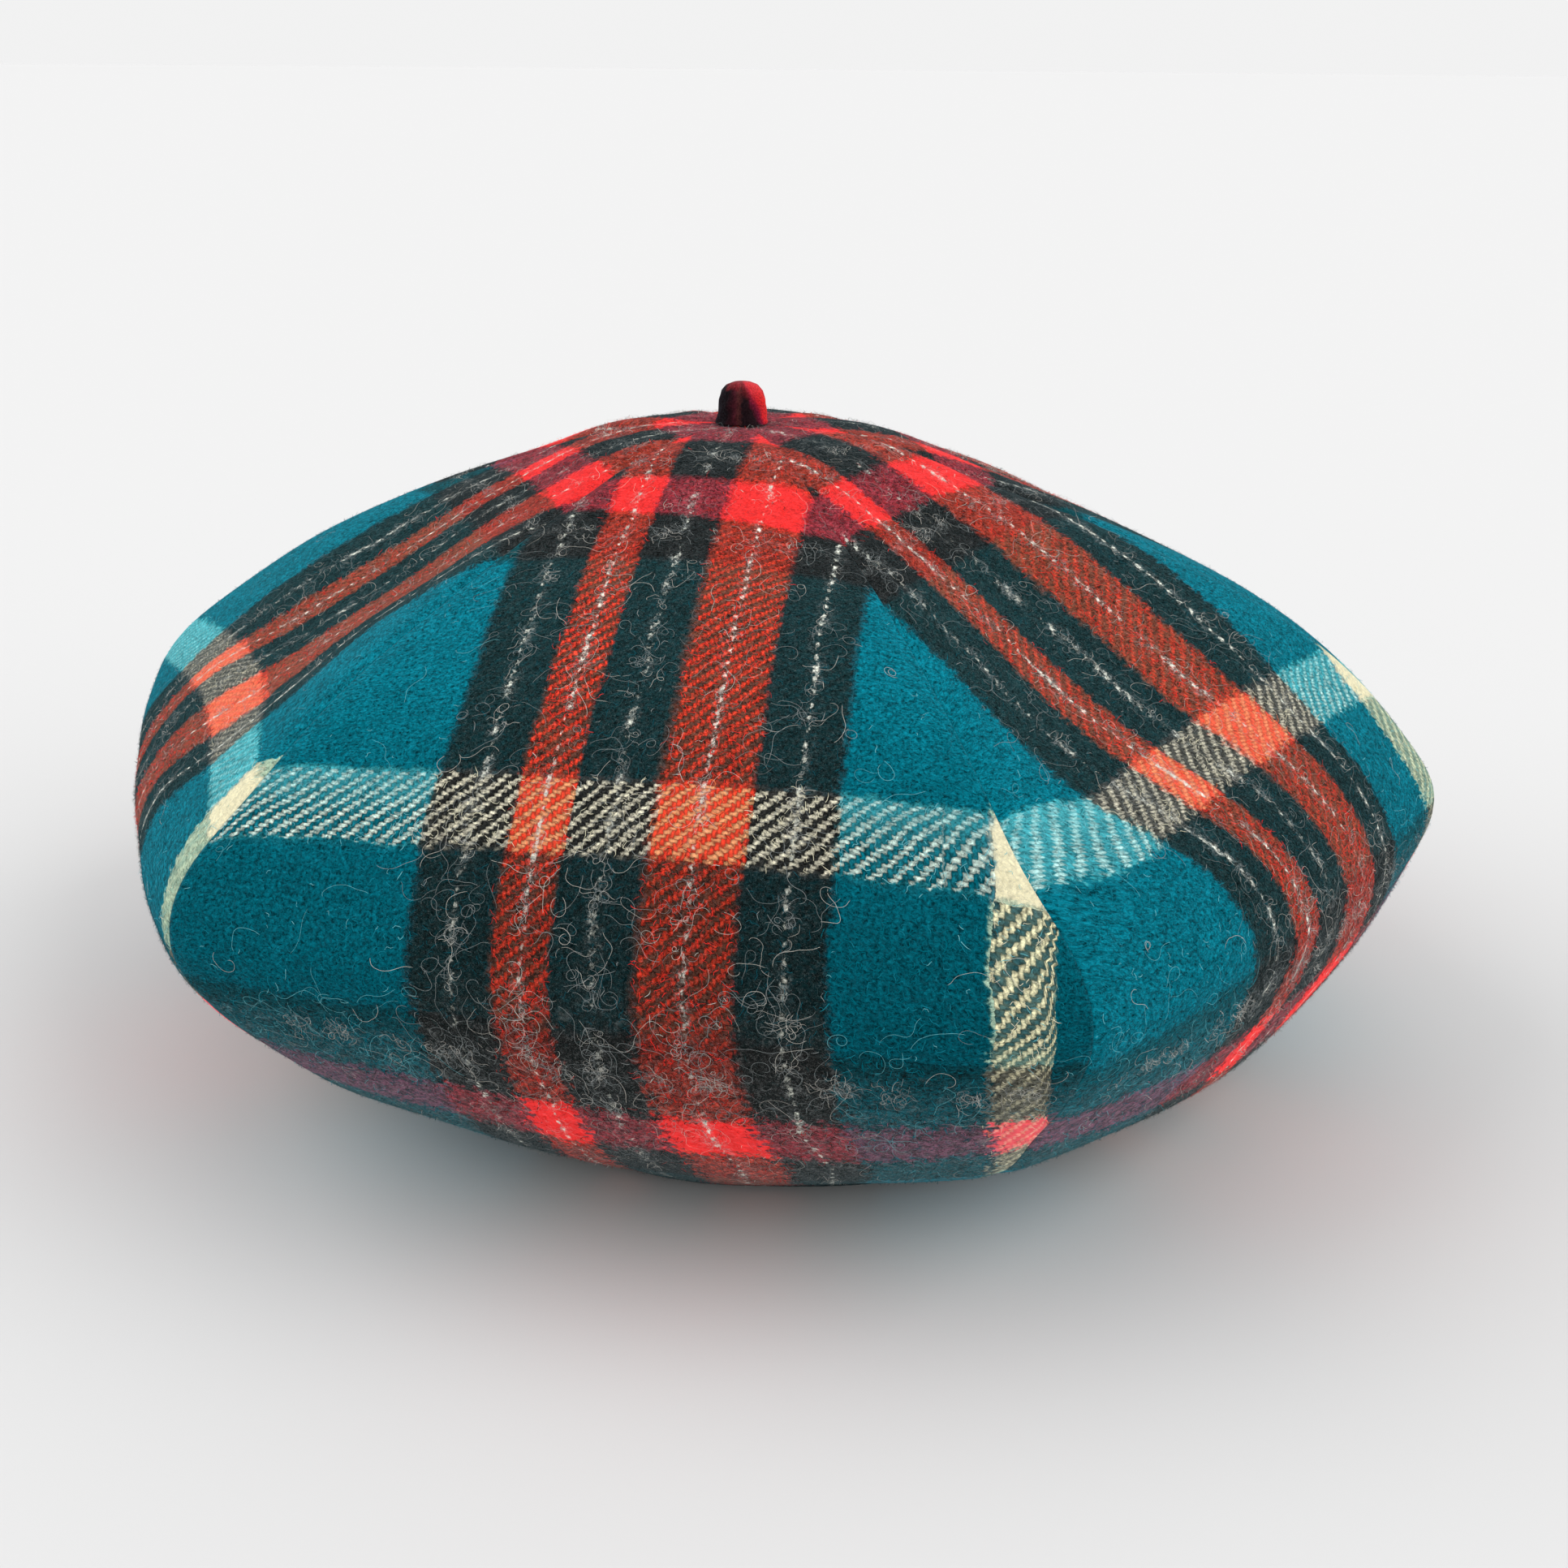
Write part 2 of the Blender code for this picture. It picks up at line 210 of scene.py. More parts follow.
# Where the cloth is felted, on the crown and where it turns under, down the gore
CROWN_FELTED = (45.0, 60.0)
TURNED_UNDER = (150.0, 178.0)
BUMP_DEPTH = 0.00022
WOOL_BUMP_DEPTH = 0.00025

# Nap: plain colours of the fibres, and which show where a warp and a weft cross
FIBRE_COLOURS = {
    "teal_dark": (0.006, 0.085, 0.115),
    "teal": TEAL[:3],
    "teal_light": (0.010, 0.230, 0.310),
    "dark": (0.008, 0.014, 0.014),
    "dark_light": (0.030, 0.060, 0.062),
    "red_dark": (0.45, 0.030, 0.022),
    "red": (0.92, 0.036, 0.028),
    "orange": (0.92, 0.22, 0.075),
    "cream": (0.78, 0.74, 0.54),
    "sky": (0.16, 0.50, 0.56),
    "violet": (0.36, 0.15, 0.23),
    "grey": (0.28, 0.31, 0.31),
    "pale": (0.62, 0.60, 0.54),
}
FIBRE_SLOTS = {name: number for number, name in enumerate(FIBRE_COLOURS)}
KINDS = {
    TEAL: "teal", DARK: "dark", WARP_RED: "red", WEFT_RED: "red", CREAM: "cream", WEFT_CREAM: "cream",
}
WARP_NAP = {
    "teal": {"teal_dark": 0.35, "teal": 0.38, "teal_light": 0.25, "sky": 0.02},
    "dark": {"dark": 0.80, "dark_light": 0.17, "grey": 0.03},
    "red": {"red_dark": 0.28, "red": 0.62, "dark": 0.08, "pale": 0.02},
    "cream": {"cream": 0.70, "sky": 0.30},
}
YARN_KINDS = list(WARP_NAP)
RED_KIND, CREAM_KIND = YARN_KINDS.index("red"), YARN_KINDS.index("cream")
WEFT_NAP = {
    "teal": {"teal": "teal", "dark": "teal_dark", "red": "red_dark", "cream": "sky"},
    "dark": {"teal": "dark", "dark": "dark", "red": "dark", "cream": "grey"},
    "red": {"teal": "violet", "dark": "red_dark", "red": "red", "cream": "orange"},
    "cream": {"teal": "sky", "dark": "cream", "red": "orange", "cream": "cream"},
}
WEFT_NAP_SHARE = {"teal": 0.12, "dark": 0.26, "red": 0.60, "cream": 0.62}
# Darker fibre colours, taken for painted shade and for felted clumps
DARKER = {
    "teal_light": "teal", "teal": "teal_dark", "red": "red_dark", "red_dark": "dark",
    "violet": "teal_dark", "grey": "dark_light", "dark_light": "dark",
}
NAP_SEED = 100
NAP_PER_GORE = 17500
SPARE_PLACES = 3500
CUT_MARGIN = 1.0
UNDERSIDE_START = 205.0
UNDERSIDE_NAP_SHARE = 0.4
THINNED_ON_CREAM_WARP, THINNED_ON_CREAM_WEFT = 0.75, 0.4
# Painted shade: the share of fibres given a darker colour low on the front gore, and on the others
SHADED_NAP_FRONT, SHADED_NAP_ELSEWHERE = 0.65, 0.1
FELTED_NAP = 0.85
# Sizes of a short fibre: steps along the cloth, lift off it, width, and depth of its root
FIBRE_STEPS = (0.30, 0.75)
FIBRE_LIFTS = (0.03, 0.24)
FIBRE_WIDTHS = (0.06, 0.10)
FIBRE_ROOT_DEPTH = 0.02
# Long hairs: number of points, length of a step, bend
LOOSE_HAIR = (23, 0.38, 0.62)
TUFT_HAIR = (12, 0.30, 1.35)
HAIR_WIDTHS = (0.030, 0.056)
CURL_KEPT, CURL_CHANGE = 0.90, 0.45
LOOSE_PLACES, LOOSE_HAIRS = 14000, 750
LOOSE_HAIR_LOOKS = {
    # chance of a loose hair by the warp it stands on, its colour, and the share that isn't pale
    "teal": (0.10, "sky", 0.8), "dark": (1.0, "grey", 0.82),
    "red": (0.75, "grey", 0.5), "cream": (0.2, "grey", 0.3),
}
TUFT_PLACES, TUFT_HAIRS = 90000, 1100
TUFT_PALE_SHARE = 0.4

STALK_STRIPES = [
    # stripes round the roll's foot: degrees from the front, growing to the right, and colour
    (-180, (0.30, 0.035, 0.03)), (-150, (0.02, 0.012, 0.014)), (-115, (0.10, 0.01, 0.02)),
    (-90, (0.020, 0.010, 0.014)), (-44, (0.012, 0.009, 0.011)), (-30, (0.030, 0.010, 0.014)),
    (-20, (0.070, 0.014, 0.022)), (-10, (0.10, 0.030, 0.030)), (0, (0.018, 0.010, 0.013)),
    (18, (0.022, 0.011, 0.014)), (32, (0.16, 0.012, 0.035)), (50, (0.66, 0.022, 0.030)),
    (80, (0.84, 0.030, 0.024)), (110, (0.30, 0.02, 0.03)), (140, (0.03, 0.012, 0.014)),
    (180, (0.30, 0.035, 0.03)),
]
STALK_RIM = (0.72, 0.05, 0.06)
STALK_LEAN = 0.085
HEM_COLOUR = (0.022, 0.036, 0.037)
HEM_FUZZ = (0.6, 0.62, 0.6)

# Numbers of a Mix node's two colours and of its colour output
MIX_COLOURS = (6, 7)
MIX_RESULT = 2

# Stage
FLOOR_RADIUS = 40.0
FLOOR_CORNERS = 96
FLOOR_TONE = 0.69
HORIZON_TONE = 0.885
ZENITH_TONE = 1.05
SKY_BLEND = (0.08, 0.50)
FRONT_SKY_SHARE = 0.35
FRONT_SKY_BLEND = (0.20, 0.38)
LIGHTS = [
    # name, strength, how wide it looks, height over the horizon, turn to the right from the front
    ("right_softbox", 1.45, 60.0, 34.0, 70.0),
    ("left_softbox", 1.35, 60.0, 34.0, -95.0),
]

# Camera fitted to the photograph, whose pixels the shifts are given in
PHOTO_WIDTH = 1932
SENSOR_WIDTH = 36.0
FOCAL_PIXELS = 2310.0
CAMERA_DISTANCE = 419.7
CAMERA_ELEVATION = 0.361
CAMERA_ROLL = 0.008
CAMERA_CLIP = (0.01, 50.0)
AIM_HEIGHT = 50.3
OBJECT_LEFT_PIXELS = 45.0
OBJECT_UP_PIXELS = 21.8


def smooth_step(values, low, high):
    part = np.clip((values - low) / (high - low), 0.0, 1.0)
    return part * part * (3 - 2 * part)


def linked_object(name, data):
    obj = bpy.data.objects.new(name, data)
    bpy.context.scene.collection.objects.link(obj)
    return obj


# ---------------------------------------------------------------- crown shape

def padded_column(values, before):
    """A column with the rows that the smooth curve needs before its start and after its end."""
    return np.array([before, *values, 2 * values[-1] - values[-2]])


SHAPE = {}
for number, column_name in enumerate(SECTION_COLUMNS, 1):
    column = [row[number] for row in SECTIONS]
    SHAPE[column_name] = padded_column(column, -column[1] if column_name == "radius" else column[1])
for seam, shifts in SEAM_SHIFTS.items():
    SHAPE[f"seam_{seam}_shift"] = padded_column(np.radians(shifts), math.radians(shifts[1]))
for number, sags in GORE_SAGS.items():
    SHAPE[f"gore_{number}_sag"] = padded_column(sags, sags[1])


def section_value(column, place):
    """Catmull-Rom value of a column of SHAPE at fractional rows of SECTIONS."""
    padded = SHAPE[column]
    place = np.asarray(place, dtype=float)
    first = np.minimum(place.astype(int), LAST_SECTION - 1)
    part = place - first
    start, end = padded[first + 1], padded[first + 2]
    slope_start = (end - padded[first]) / 2
    slope_end = (padded[first + 3] - start) / 2
    return (start * (1 + 2 * part) * (1 - part) ** 2
            + slope_start * part * (1 - part) ** 2
            + end * part ** 2 * (3 - 2 * part)
            + slope_end * part ** 2 * (part - 1))


def leans(place):
    """How far the crown's middle stands to the right and to the back."""
    return section_value("lean_right", place), section_value("lean_back", place)


class Meridian:
    """Arc length and slope along the middle line of a gore, sampled once."""

    def __init__(self):
        self.place = np.linspace(0.0, LAST_SECTION, MERIDIAN_SAMPLES)
        self.radius = section_value("radius", self.place)
        height = section_value("height", self.place)
        steps = np.hypot(np.diff(self.radius), np.diff(height))
        self.length = np.concatenate([[0.0], np.cumsum(steps)])
        self.slope = np.gradient(self.radius, self.length)

    def at(self, values, place):
        return np.interp(place, self.place, values)


MERIDIAN = Meridian()
# Where the gores end round the stalk's hole, among the samples whose radius only grows
HOLE_EDGE = np.interp(
    STALK_HOLE_RADIUS, MERIDIAN.radius[:RISING_SAMPLES], MERIDIAN.place[:RISING_SAMPLES])


def plan_middle():
    """Where the crown's table has the middle of its box, as the CAD part takes it."""
    place = np.linspace(HOLE_EDGE, LAST_SECTION, PLAN_ROWS)[:, None]
    offset = np.linspace(-SEAM_HALF_ANGLE, SEAM_HALF_ANGLE, PLAN_COLUMNS)[None, :]
    gores = [raw_point(place, gore, offset, 0.0).reshape(-1, 3) for gore in range(GORE_COUNT)]
    points = np.concatenate(gores)
    return (points.min(0) + points.max(0))[:2] / 2


def stretched(place, gore, offset):
    """Angle from a gore's middle line, with its seams shifted off their even spacing."""
    turned_by = 0.0 * offset
    for seam, side in ((gore or GORE_COUNT, offset < 0), (gore + 1, offset > 0)):
        if seam in SEAM_SHIFTS:
            turned_by = turned_by + np.where(side, section_value(f"seam_{seam}_shift", place), 0.0)
    return offset + turned_by * np.abs(offset) / SEAM_HALF_ANGLE


def sag_depth(place, gore, offset):
    share = offset / SEAM_HALF_ANGLE
    leaning = share - SAG_LEANS.get(gore + 1, 0.0) * (1 - share ** 2)
    return section_value(f"gore_{gore + 1}_sag", place) * np.cos(math.pi / 2 * leaning) ** 2


def polar_point(radius, angle, height, middle):
    """A point round a middle. Angle 0 is at the front, and grows to the right."""
    x = radius * np.sin(angle) + middle[0]
    y = -radius * np.cos(angle) + middle[1]
    return np.stack([x, y, height + 0 * angle], -1)


def raw_point(place, gore, offset, depth):
    """A point of the cloth in millimetres, at a depth under its outer face."""
    step = 0.01
    low, high = np.maximum(place - step, 0.0), np.minimum(place + step, LAST_SECTION)

    def local_radius(at):
        bulge = section_value("seam_growth", at) * (offset / SEAM_HALF_ANGLE) ** 2
        return section_value("radius", at) * (1 + bulge)

    run = local_radius(high) - local_radius(low)
    rise = section_value("height", high) - section_value("height", low)
    length = np.hypot(run, rise)
    outward, upward = -rise / length, run / length
    radius = local_radius(place)
    turn = (outward * section_value("radius", place) * section_value("seam_growth", place)
            * 2 * offset / SEAM_HALF_ANGLE ** 2)
    mitred = (depth + sag_depth(place, gore, offset)) * np.hypot(1.0, turn / np.maximum(radius, 1.0))
    azimuth = FRONT_GORE_TURN + gore * 2 * SEAM_HALF_ANGLE + stretched(place, gore, offset)
    height = section_value("height", place) - mitred * upward
    return polar_point(radius - mitred * outward, azimuth, height, leans(place))


PLAN_MIDDLE = plan_middle()


def crown_point(place, gore, offset, depth=0.0):
    """The same point in metres in the frame."""
    point = raw_point(place, gore, offset, depth)
    point[..., :2] -= PLAN_MIDDLE
    return point * MM


def soft_depth(place, offset, gore):
    """How far the real cloth lies under the smooth form: seam grooves and unevenness."""
    radius = MERIDIAN.at(MERIDIAN.radius, place)
    from_seam = radius * (SEAM_HALF_ANGLE - np.abs(offset))
    apex_fade = smooth_step(radius, 4.0, 30.0)
    groove = SEAM_GROOVE_DEPTH * np.exp(-(from_seam / SEAM_GROOVE_WIDTH) ** 2) * apex_fade
    turn = gore * 2 * SEAM_HALF_ANGLE + offset
    waves = (np.sin(5 * turn + 1.3 * place) * np.sin(0.9 * place + 1.0)
             + 0.6 * np.sin(11 * turn - 2.1 * place + 2.0)
             + 0.5 * np.sin(17 * turn + 3.3 * place))
    return groove + UNEVENNESS * apex_fade * waves


def grain_pull(rows, across, down):
    """A table of GRAIN read at every point of a gore, straight between its numbers."""
    table = np.array(rows)
    pulls = [np.interp(down, table[:, 0], column) for column in table[:, 1:].T]
    pull = pulls[0]
    for left, right, pull_left, pull_right in zip(GRAIN_ACROSS, GRAIN_ACROSS[1:], pulls, pulls[1:]):
        part = np.clip((across - left) / (right - left), 0.0, 1.0)
        pull = np.where(across >= left, pull_left + part * (pull_right - pull_left), pull)
    return pull


def cloth_coordinates(place, offset, gore):
    """u and v on the flat cloth. The meridian's cone at each place is unrolled round the gore."""
    radius = MERIDIAN.at(MERIDIAN.radius, place)
    slope = MERIDIAN.at(MERIDIAN.slope, place)
    slope = np.where(np.abs(slope) < 1e-3, 1e-3, slope)
    angle = slope * stretched(place, gore, offset)
    across = radius / slope * np.sin(angle)
    sagitta = radius / slope * (1 - np.cos(angle))
    down = MERIDIAN.at(MERIDIAN.length, place) - sagitta + STRAIGHT_SLOPE * across
    grain = GRAIN.get(gore, FRONT_GRAIN)
    u = across - grain_pull(grain["u"], across, down)
    v = down + grain_pull(grain["v"], across, down)
    if gore == 0:
        # the last of the cream stripe is taken up in the seam
        u = u + STRIPE_TAKEN_UP * smooth_step(u, 64.2, 65.4) * smooth_step(down, 128.0, 134.0)
    return u, v


def surface_frame(place, gore, offset):
    """Points of the real outer face in metres, with its directions across, down and out."""
    def face(at, turn):
        return crown_point(at, gore, turn, soft_depth(at, turn, gore))

    point = face(place, offset)
    across = face(place, offset + 0.002) - face(place, offset - 0.002)
    down = face(np.minimum(place + 0.02, LAST_SECTION), offset) - face(place - 0.02, offset)
    across /= np.linalg.norm(across, axis=-1, keepdims=True)
    outward = np.cross(down, across)
    outward /= np.linalg.norm(outward, axis=-1, keepdims=True)
    return point, across, np.cross(across, outward), outward


# ---------------------------------------------------------------- meshes

def cloth_object(name, points, faces, cloth, material):
    """A smooth mesh that carries the cloth coordinates of its points."""
    mesh = bpy.data.meshes.new(name)
    mesh.from_pydata(points, [], faces)
    mesh.materials.append(material)
    mesh.shade_smooth()
    mesh.update()
    attribute = mesh.attributes.new("cloth", "FLOAT_VECTOR", "POINT")
    attribute.data.foreach_set("vector", np.ascontiguousarray(cloth, dtype=np.float32).ravel())
    return linked_object(name, mesh)


def fibre_object(name, parts, materials):
    """One object of several sets of ribbons."""
    point_sets, triangle_sets, slot_sets = zip(*parts)
    firsts = np.cumsum([0] + [len(points) for points in point_sets[:-1]])
    points = np.concatenate(point_sets)
    triangles = np.concatenate([part + first for part, first in zip(triangle_sets, firsts)])
    mesh = bpy.data.meshes.new(name)
    mesh.vertices.add(len(points))
    mesh.vertices.foreach_set("co", points.astype(np.float32).ravel())
    mesh.loops.add(triangles.size)
    mesh.loops.foreach_set("vertex_index", triangles.astype(np.int32).ravel())
    mesh.polygons.add(len(triangles))
    mesh.polygons.foreach_set("loop_start", np.arange(0, triangles.size, 3, dtype=np.int32))
    for material in materials:
        mesh.materials.append(material)
    mesh.polygons.foreach_set("material_index", np.concatenate(slot_sets).astype(np.int32))
    mesh.update(calc_edges=True)
    return linked_object(name, mesh)


def ribbons(paths, outward, widths, path_slots):
    """Fibres as flat tapering ribbons with their width along the cloth: points, faces, slots."""
    count, steps = paths.shape[:2]
    side = np.cross(np.gradient(paths, axis=1), outward)
    side *= (widths[:, None, None] / 2) / np.maximum(np.linalg.norm(side, axis=-1, keepdims=True), 1e-9)
    points = np.stack([paths + side, paths - side], 2).reshape(count, 2 * steps, 3)[:, :-1]
    points[:, -1] = paths[:, -1]
    lefts = range(0, 2 * steps - 4, 2)
    pattern = [corners for left in lefts for corners in (
        (left, left + 1, left + 3), (left, left + 3, left + 2))]
    pattern.append((2 * steps - 4, 2 * steps - 3, 2 * steps - 2))
    first = np.arange(count)[:, None, None] * (2 * steps - 1)
    triangles = (np.array(pattern)[None] + first).reshape(-1, 3)
    return points.reshape(-1, 3), triangles, np.repeat(path_slots, len(pattern))


def quads(index):
    """Quads between neighbours in a grid of point numbers."""
    corners = [index[:-1, :-1], index[:-1, 1:], index[1:, 1:], index[1:, :-1]]
    return np.stack(corners, -1).reshape(-1, 4)


def make_gore(gore, material):
    """One gore as a closed wall with its outer face, inner face and four edges."""
    place = np.linspace(HOLE_EDGE, LAST_SECTION, ROWS + 1)[:, None]
    even = np.linspace(-1.0, 1.0, COLUMNS + 1)[None, :]
    offset = SEAM_HALF_ANGLE * (even + SEAM_CROWDING * np.sin(math.pi * even))
    depth = soft_depth(place, offset, gore)
    outer = crown_point(place, gore, offset, depth).reshape(-1, 3)
    inner = crown_point(place, gore, offset, CLOTH_THICKNESS + 0 * depth).reshape(-1, 3)
    across, down = cloth_coordinates(place, offset, gore)
    cloth = np.stack([across, down, np.full_like(across, GORE_STEP * gore)], -1).reshape(-1, 3)

    count = len(outer)
    index = np.arange(count).reshape(across.shape)
    outer_faces = quads(index)[:, [0, 3, 2, 1]]
    borders = [index[:, 0], index[:, -1][::-1], index[0, ::-1], index[-1, :]]
    edges = [quads(np.stack([border, border + count], 1)) for border in borders]
    faces = np.concatenate([outer_faces, outer_faces[:, ::-1] + count, *edges]).tolist()
    points = np.concatenate([outer, inner])
    return cloth_object(f"cloth_{gore + 1}", points, faces, np.concatenate([cloth, cloth]), material)


def smoothed_ring(section, rounds=2):
    """A closed section with its corners cut round."""
    points = np.array(section)
    for _ in range(rounds):
        after = np.roll(points, -1, axis=0)
        points = np.stack([0.75 * points + 0.25 * after, 0.25 * points + 0.75 * after], 1).reshape(-1, 2)
    return points


def make_hem(material):
    section = smoothed_ring(HEM_SECTION)
    turn = FRONT_GORE_TURN + np.linspace(0, 2 * math.pi, HEM_SEGMENTS, endpoint=False)[:, None]
    points = polar_point(section[None, :, 0], turn, section[None, :, 1], leans(LAST_SECTION))
    points[..., :2] -= PLAN_MIDDLE
    index = np.arange(HEM_SEGMENTS * len(section)).reshape(HEM_SEGMENTS, -1)
    faces = quads(np.pad(index, (0, 1), mode="wrap")).tolist()
    around = np.cumsum(np.hypot(*(section - np.roll(section, 1, axis=0)).T))
    cloth = np.stack([HEM_SECTION[0][0] * turn + 0 * around, around + 0 * turn, 0 * (turn + around)], -1)
    return cloth_object("hem_edge", points.reshape(-1, 3) * MM, faces, cloth.reshape(-1, 3), material)


def stalk_point(angle, ring):
    """A point of the roll in metres, ring 0 at its foot and 1 at its top."""
    profile = np.array(STALK_PROFILE)
    steps = np.concatenate([[0.0], np.cumsum(np.hypot(*np.diff(profile, axis=0).T))])
    radius, height = (np.interp(ring * steps[-1], steps, column) for column in profile.T)
    away = (angle - CREASE_TURN + math.pi) % (2 * math.pi) - math.pi
    crease = np.exp(-(away / CREASE_HALF_ANGLE) ** 2)
    fade = np.minimum(1.0, radius / CREASE_FADE_RADIUS)
    uneven = 0.012 * np.sin(3 * angle + 0.9 * height) + 0.012 * np.sin(7 * angle - 1.7 * height + 1.0)
    radius = radius * (1 - CREASE_DEPTH_SHARE * fade * crease + fade * uneven)
    middle = np.array(leans(0.0)) - PLAN_MIDDLE
    return polar_point(radius, angle, height + section_value("height", 0.0), middle) * MM


def make_stalk(material):
    angle = np.linspace(-math.pi, math.pi, STALK_SEGMENTS, endpoint=False)
    ring = np.linspace(0.0, STALK_LAST_RING, STALK_RINGS)[:, None]
    top = stalk_point(np.zeros(1), np.ones(1))[0]
    root = [polar_point(radius * MM, angle, top[2] + (height - STALK_TOP) * MM, top)
            for radius, height in STALK_ROOT]
    rings = np.concatenate([np.array(root), stalk_point(angle + 0 * ring, ring + 0 * angle)])
    points = rings.reshape(-1, 3)
    index = np.arange(len(points)).reshape(len(rings), STALK_SEGMENTS)
    faces = quads(np.pad(index, ((0, 0), (0, 1)), mode="wrap")).tolist()
    faces += [index[0, ::-1].tolist(), index[-1].tolist()]
    heights = (points[:, 2] - top[2]) / MM + STALK_TOP
    turns = np.tile(angle, len(rings))
    cloth = np.stack([5 * np.sin(turns), heights, 5 * np.cos(turns)], -1)
    return cloth_object("stalk_roll", points, faces, cloth, material)


# ---------------------------------------------------------------- nap and hairs

def stripe_kinds(positions, table):
    """For each position the kind of its stripe, as a number in YARN_KINDS."""
    starts = np.array([row[0] for row in table])
    numbers = np.array([YARN_KINDS.index(KINDS[row[1]]) for row in table])
    return numbers[np.clip(np.searchsorted(starts, positions, "right") - 1, 0, len(table) - 1)]


def scattered_places(random, count):
    """Even random places over a gore, away from its cut edges: place and offset."""
    margin = MERIDIAN.length[-1] - CUT_MARGIN
    on_cloth = (MERIDIAN.radius > STALK_HOLE_RADIUS + CUT_MARGIN) & (MERIDIAN.length < margin)
    weight = np.where(on_cloth, MERIDIAN.radius, 0)
    weight = np.where(MERIDIAN.length > UNDERSIDE_START, UNDERSIDE_NAP_SHARE * weight, weight)
    total = np.cumsum(weight)
    place = np.interp(random.random(count) * total[-1], total, MERIDIAN.place)
    return place, random.uniform(-0.995, 0.995, count) * SEAM_HALF_ANGLE


def nap_slots(random, warp, weft):
    """Fibre colours for crossings of the given kinds."""
    slots = np.zeros(len(warp), dtype=int)
    for warp_number, warp_kind in enumerate(YARN_KINDS):
        for weft_number, weft_kind in enumerate(YARN_KINDS):
            share = WEFT_NAP_SHARE[weft_kind]
            shares = {name: part * (1 - share) for name, part in WARP_NAP[warp_kind].items()}
            top = WEFT_NAP[weft_kind][warp_kind]
            shares[top] = shares.get(top, 0.0) + share
            here = np.flatnonzero((warp == warp_number) & (weft == weft_number))
            numbers = [FIBRE_SLOTS[name] for name in shares]
            slots[here] = random.choice(numbers, len(here), p=list(shares.values()))
    return slots


def shade_and_felt_share(u, v, warp, weft, gore):
    """The share of darker fibres: painted shade in the lower half of a gore, most on the front one, and
    clumps where the cloth is felted.
    """
    # painted shade: darker fibres in the lower half, most on the front gore
    worn = SHADED_NAP_FRONT if gore == 0 else SHADED_NAP_ELSEWHERE
    worn = worn * smooth_step(v, 95.0, 140.0) * (1 - smooth_step(v, 165.0, 190.0))
    clumps = np.sin(0.9 * u + 1.7 * np.sin(0.5 * v)) * np.sin(1.1 * v + 1.3 * np.sin(0.6 * u) + gore)
    felted = np.maximum(smooth_step(v, 155.0, 175.0), 0.6 * (1 - smooth_step(v, 40.0, 60.0)))
    felted = np.where((warp == RED_KIND) & (weft == RED_KIND), 0.0, felted)
    return np.maximum(worn, FELTED_NAP * felted * smooth_step(clumps, -0.1, 0.4))


def turned(angle, across, down):
    return np.cos(angle)[:, None] * across + np.sin(angle)[:, None] * down


def short_fibres(random, gore):
    """Bent fibres that lie on one gore, coloured by the yarns they come out of."""
    place, offset = scattered_places(random, NAP_PER_GORE + SPARE_PLACES)
    u, v = cloth_coordinates(place, offset, gore)
    spread = 0.55 + 1.15 * smooth_step(v, 158.0, 180.0) + 0.7 * (1 - smooth_step(v, 42.0, 60.0))
    u = u + spread * random.normal(0, 1.0, len(u))
    v = v + spread * random.normal(0, 1.0, len(v))
    warp, weft = stripe_kinds(u, WARP), stripe_kinds(v, WEFT)
    creamy_warp, creamy_weft = warp == CREAM_KIND, weft == CREAM_KIND
    thinner = np.where(creamy_weft & ~creamy_warp, THINNED_ON_CREAM_WEFT, 0.0)
    thinner = np.where(creamy_warp & ~creamy_weft, THINNED_ON_CREAM_WARP, thinner)
    kept = np.flatnonzero(random.random(len(u)) >= thinner)[:NAP_PER_GORE]
    place, offset, u, v, warp, weft = (values[kept] for values in (place, offset, u, v, warp, weft))
    point, across, down, outward = surface_frame(place, gore, offset)
    slots = nap_slots(random, warp, weft)
    # darker fibre colours, for the painted shade of the lower half and for felted clumps
    darker = np.array([FIBRE_SLOTS[DARKER.get(name, name)] for name in FIBRE_SLOTS])
    worn = random.random(NAP_PER_GORE) < shade_and_felt_share(u, v, warp, weft, gore)
    slots = np.where(worn, darker[slots], slots)

    angle = random.uniform(0, 2 * math.pi, NAP_PER_GORE)
    bends = random.normal(0, 0.75, (2, NAP_PER_GORE))
    step = random.uniform(*FIBRE_STEPS, NAP_PER_GORE)[:, None] * MM
    lift = random.uniform(*FIBRE_LIFTS, NAP_PER_GORE)[:, None] * MM
    rise = random.normal(0.08, 0.16, NAP_PER_GORE)[:, None] * MM
    start = point - FIBRE_ROOT_DEPTH * MM * outward
    second = start + step * turned(angle, across, down) + lift * outward
    third = second + step * turned(angle + bends[0], across, down) + 0.5 * rise * outward
    end = third + step * turned(angle + bends[0] + bends[1], across, down) + 0.5 * rise * outward
    paths = np.stack([start, second, third, end], 1)
    widths = random.uniform(*FIBRE_WIDTHS, NAP_PER_GORE) * MM
    return ribbons(paths, outward[:, None, :], widths, slots)


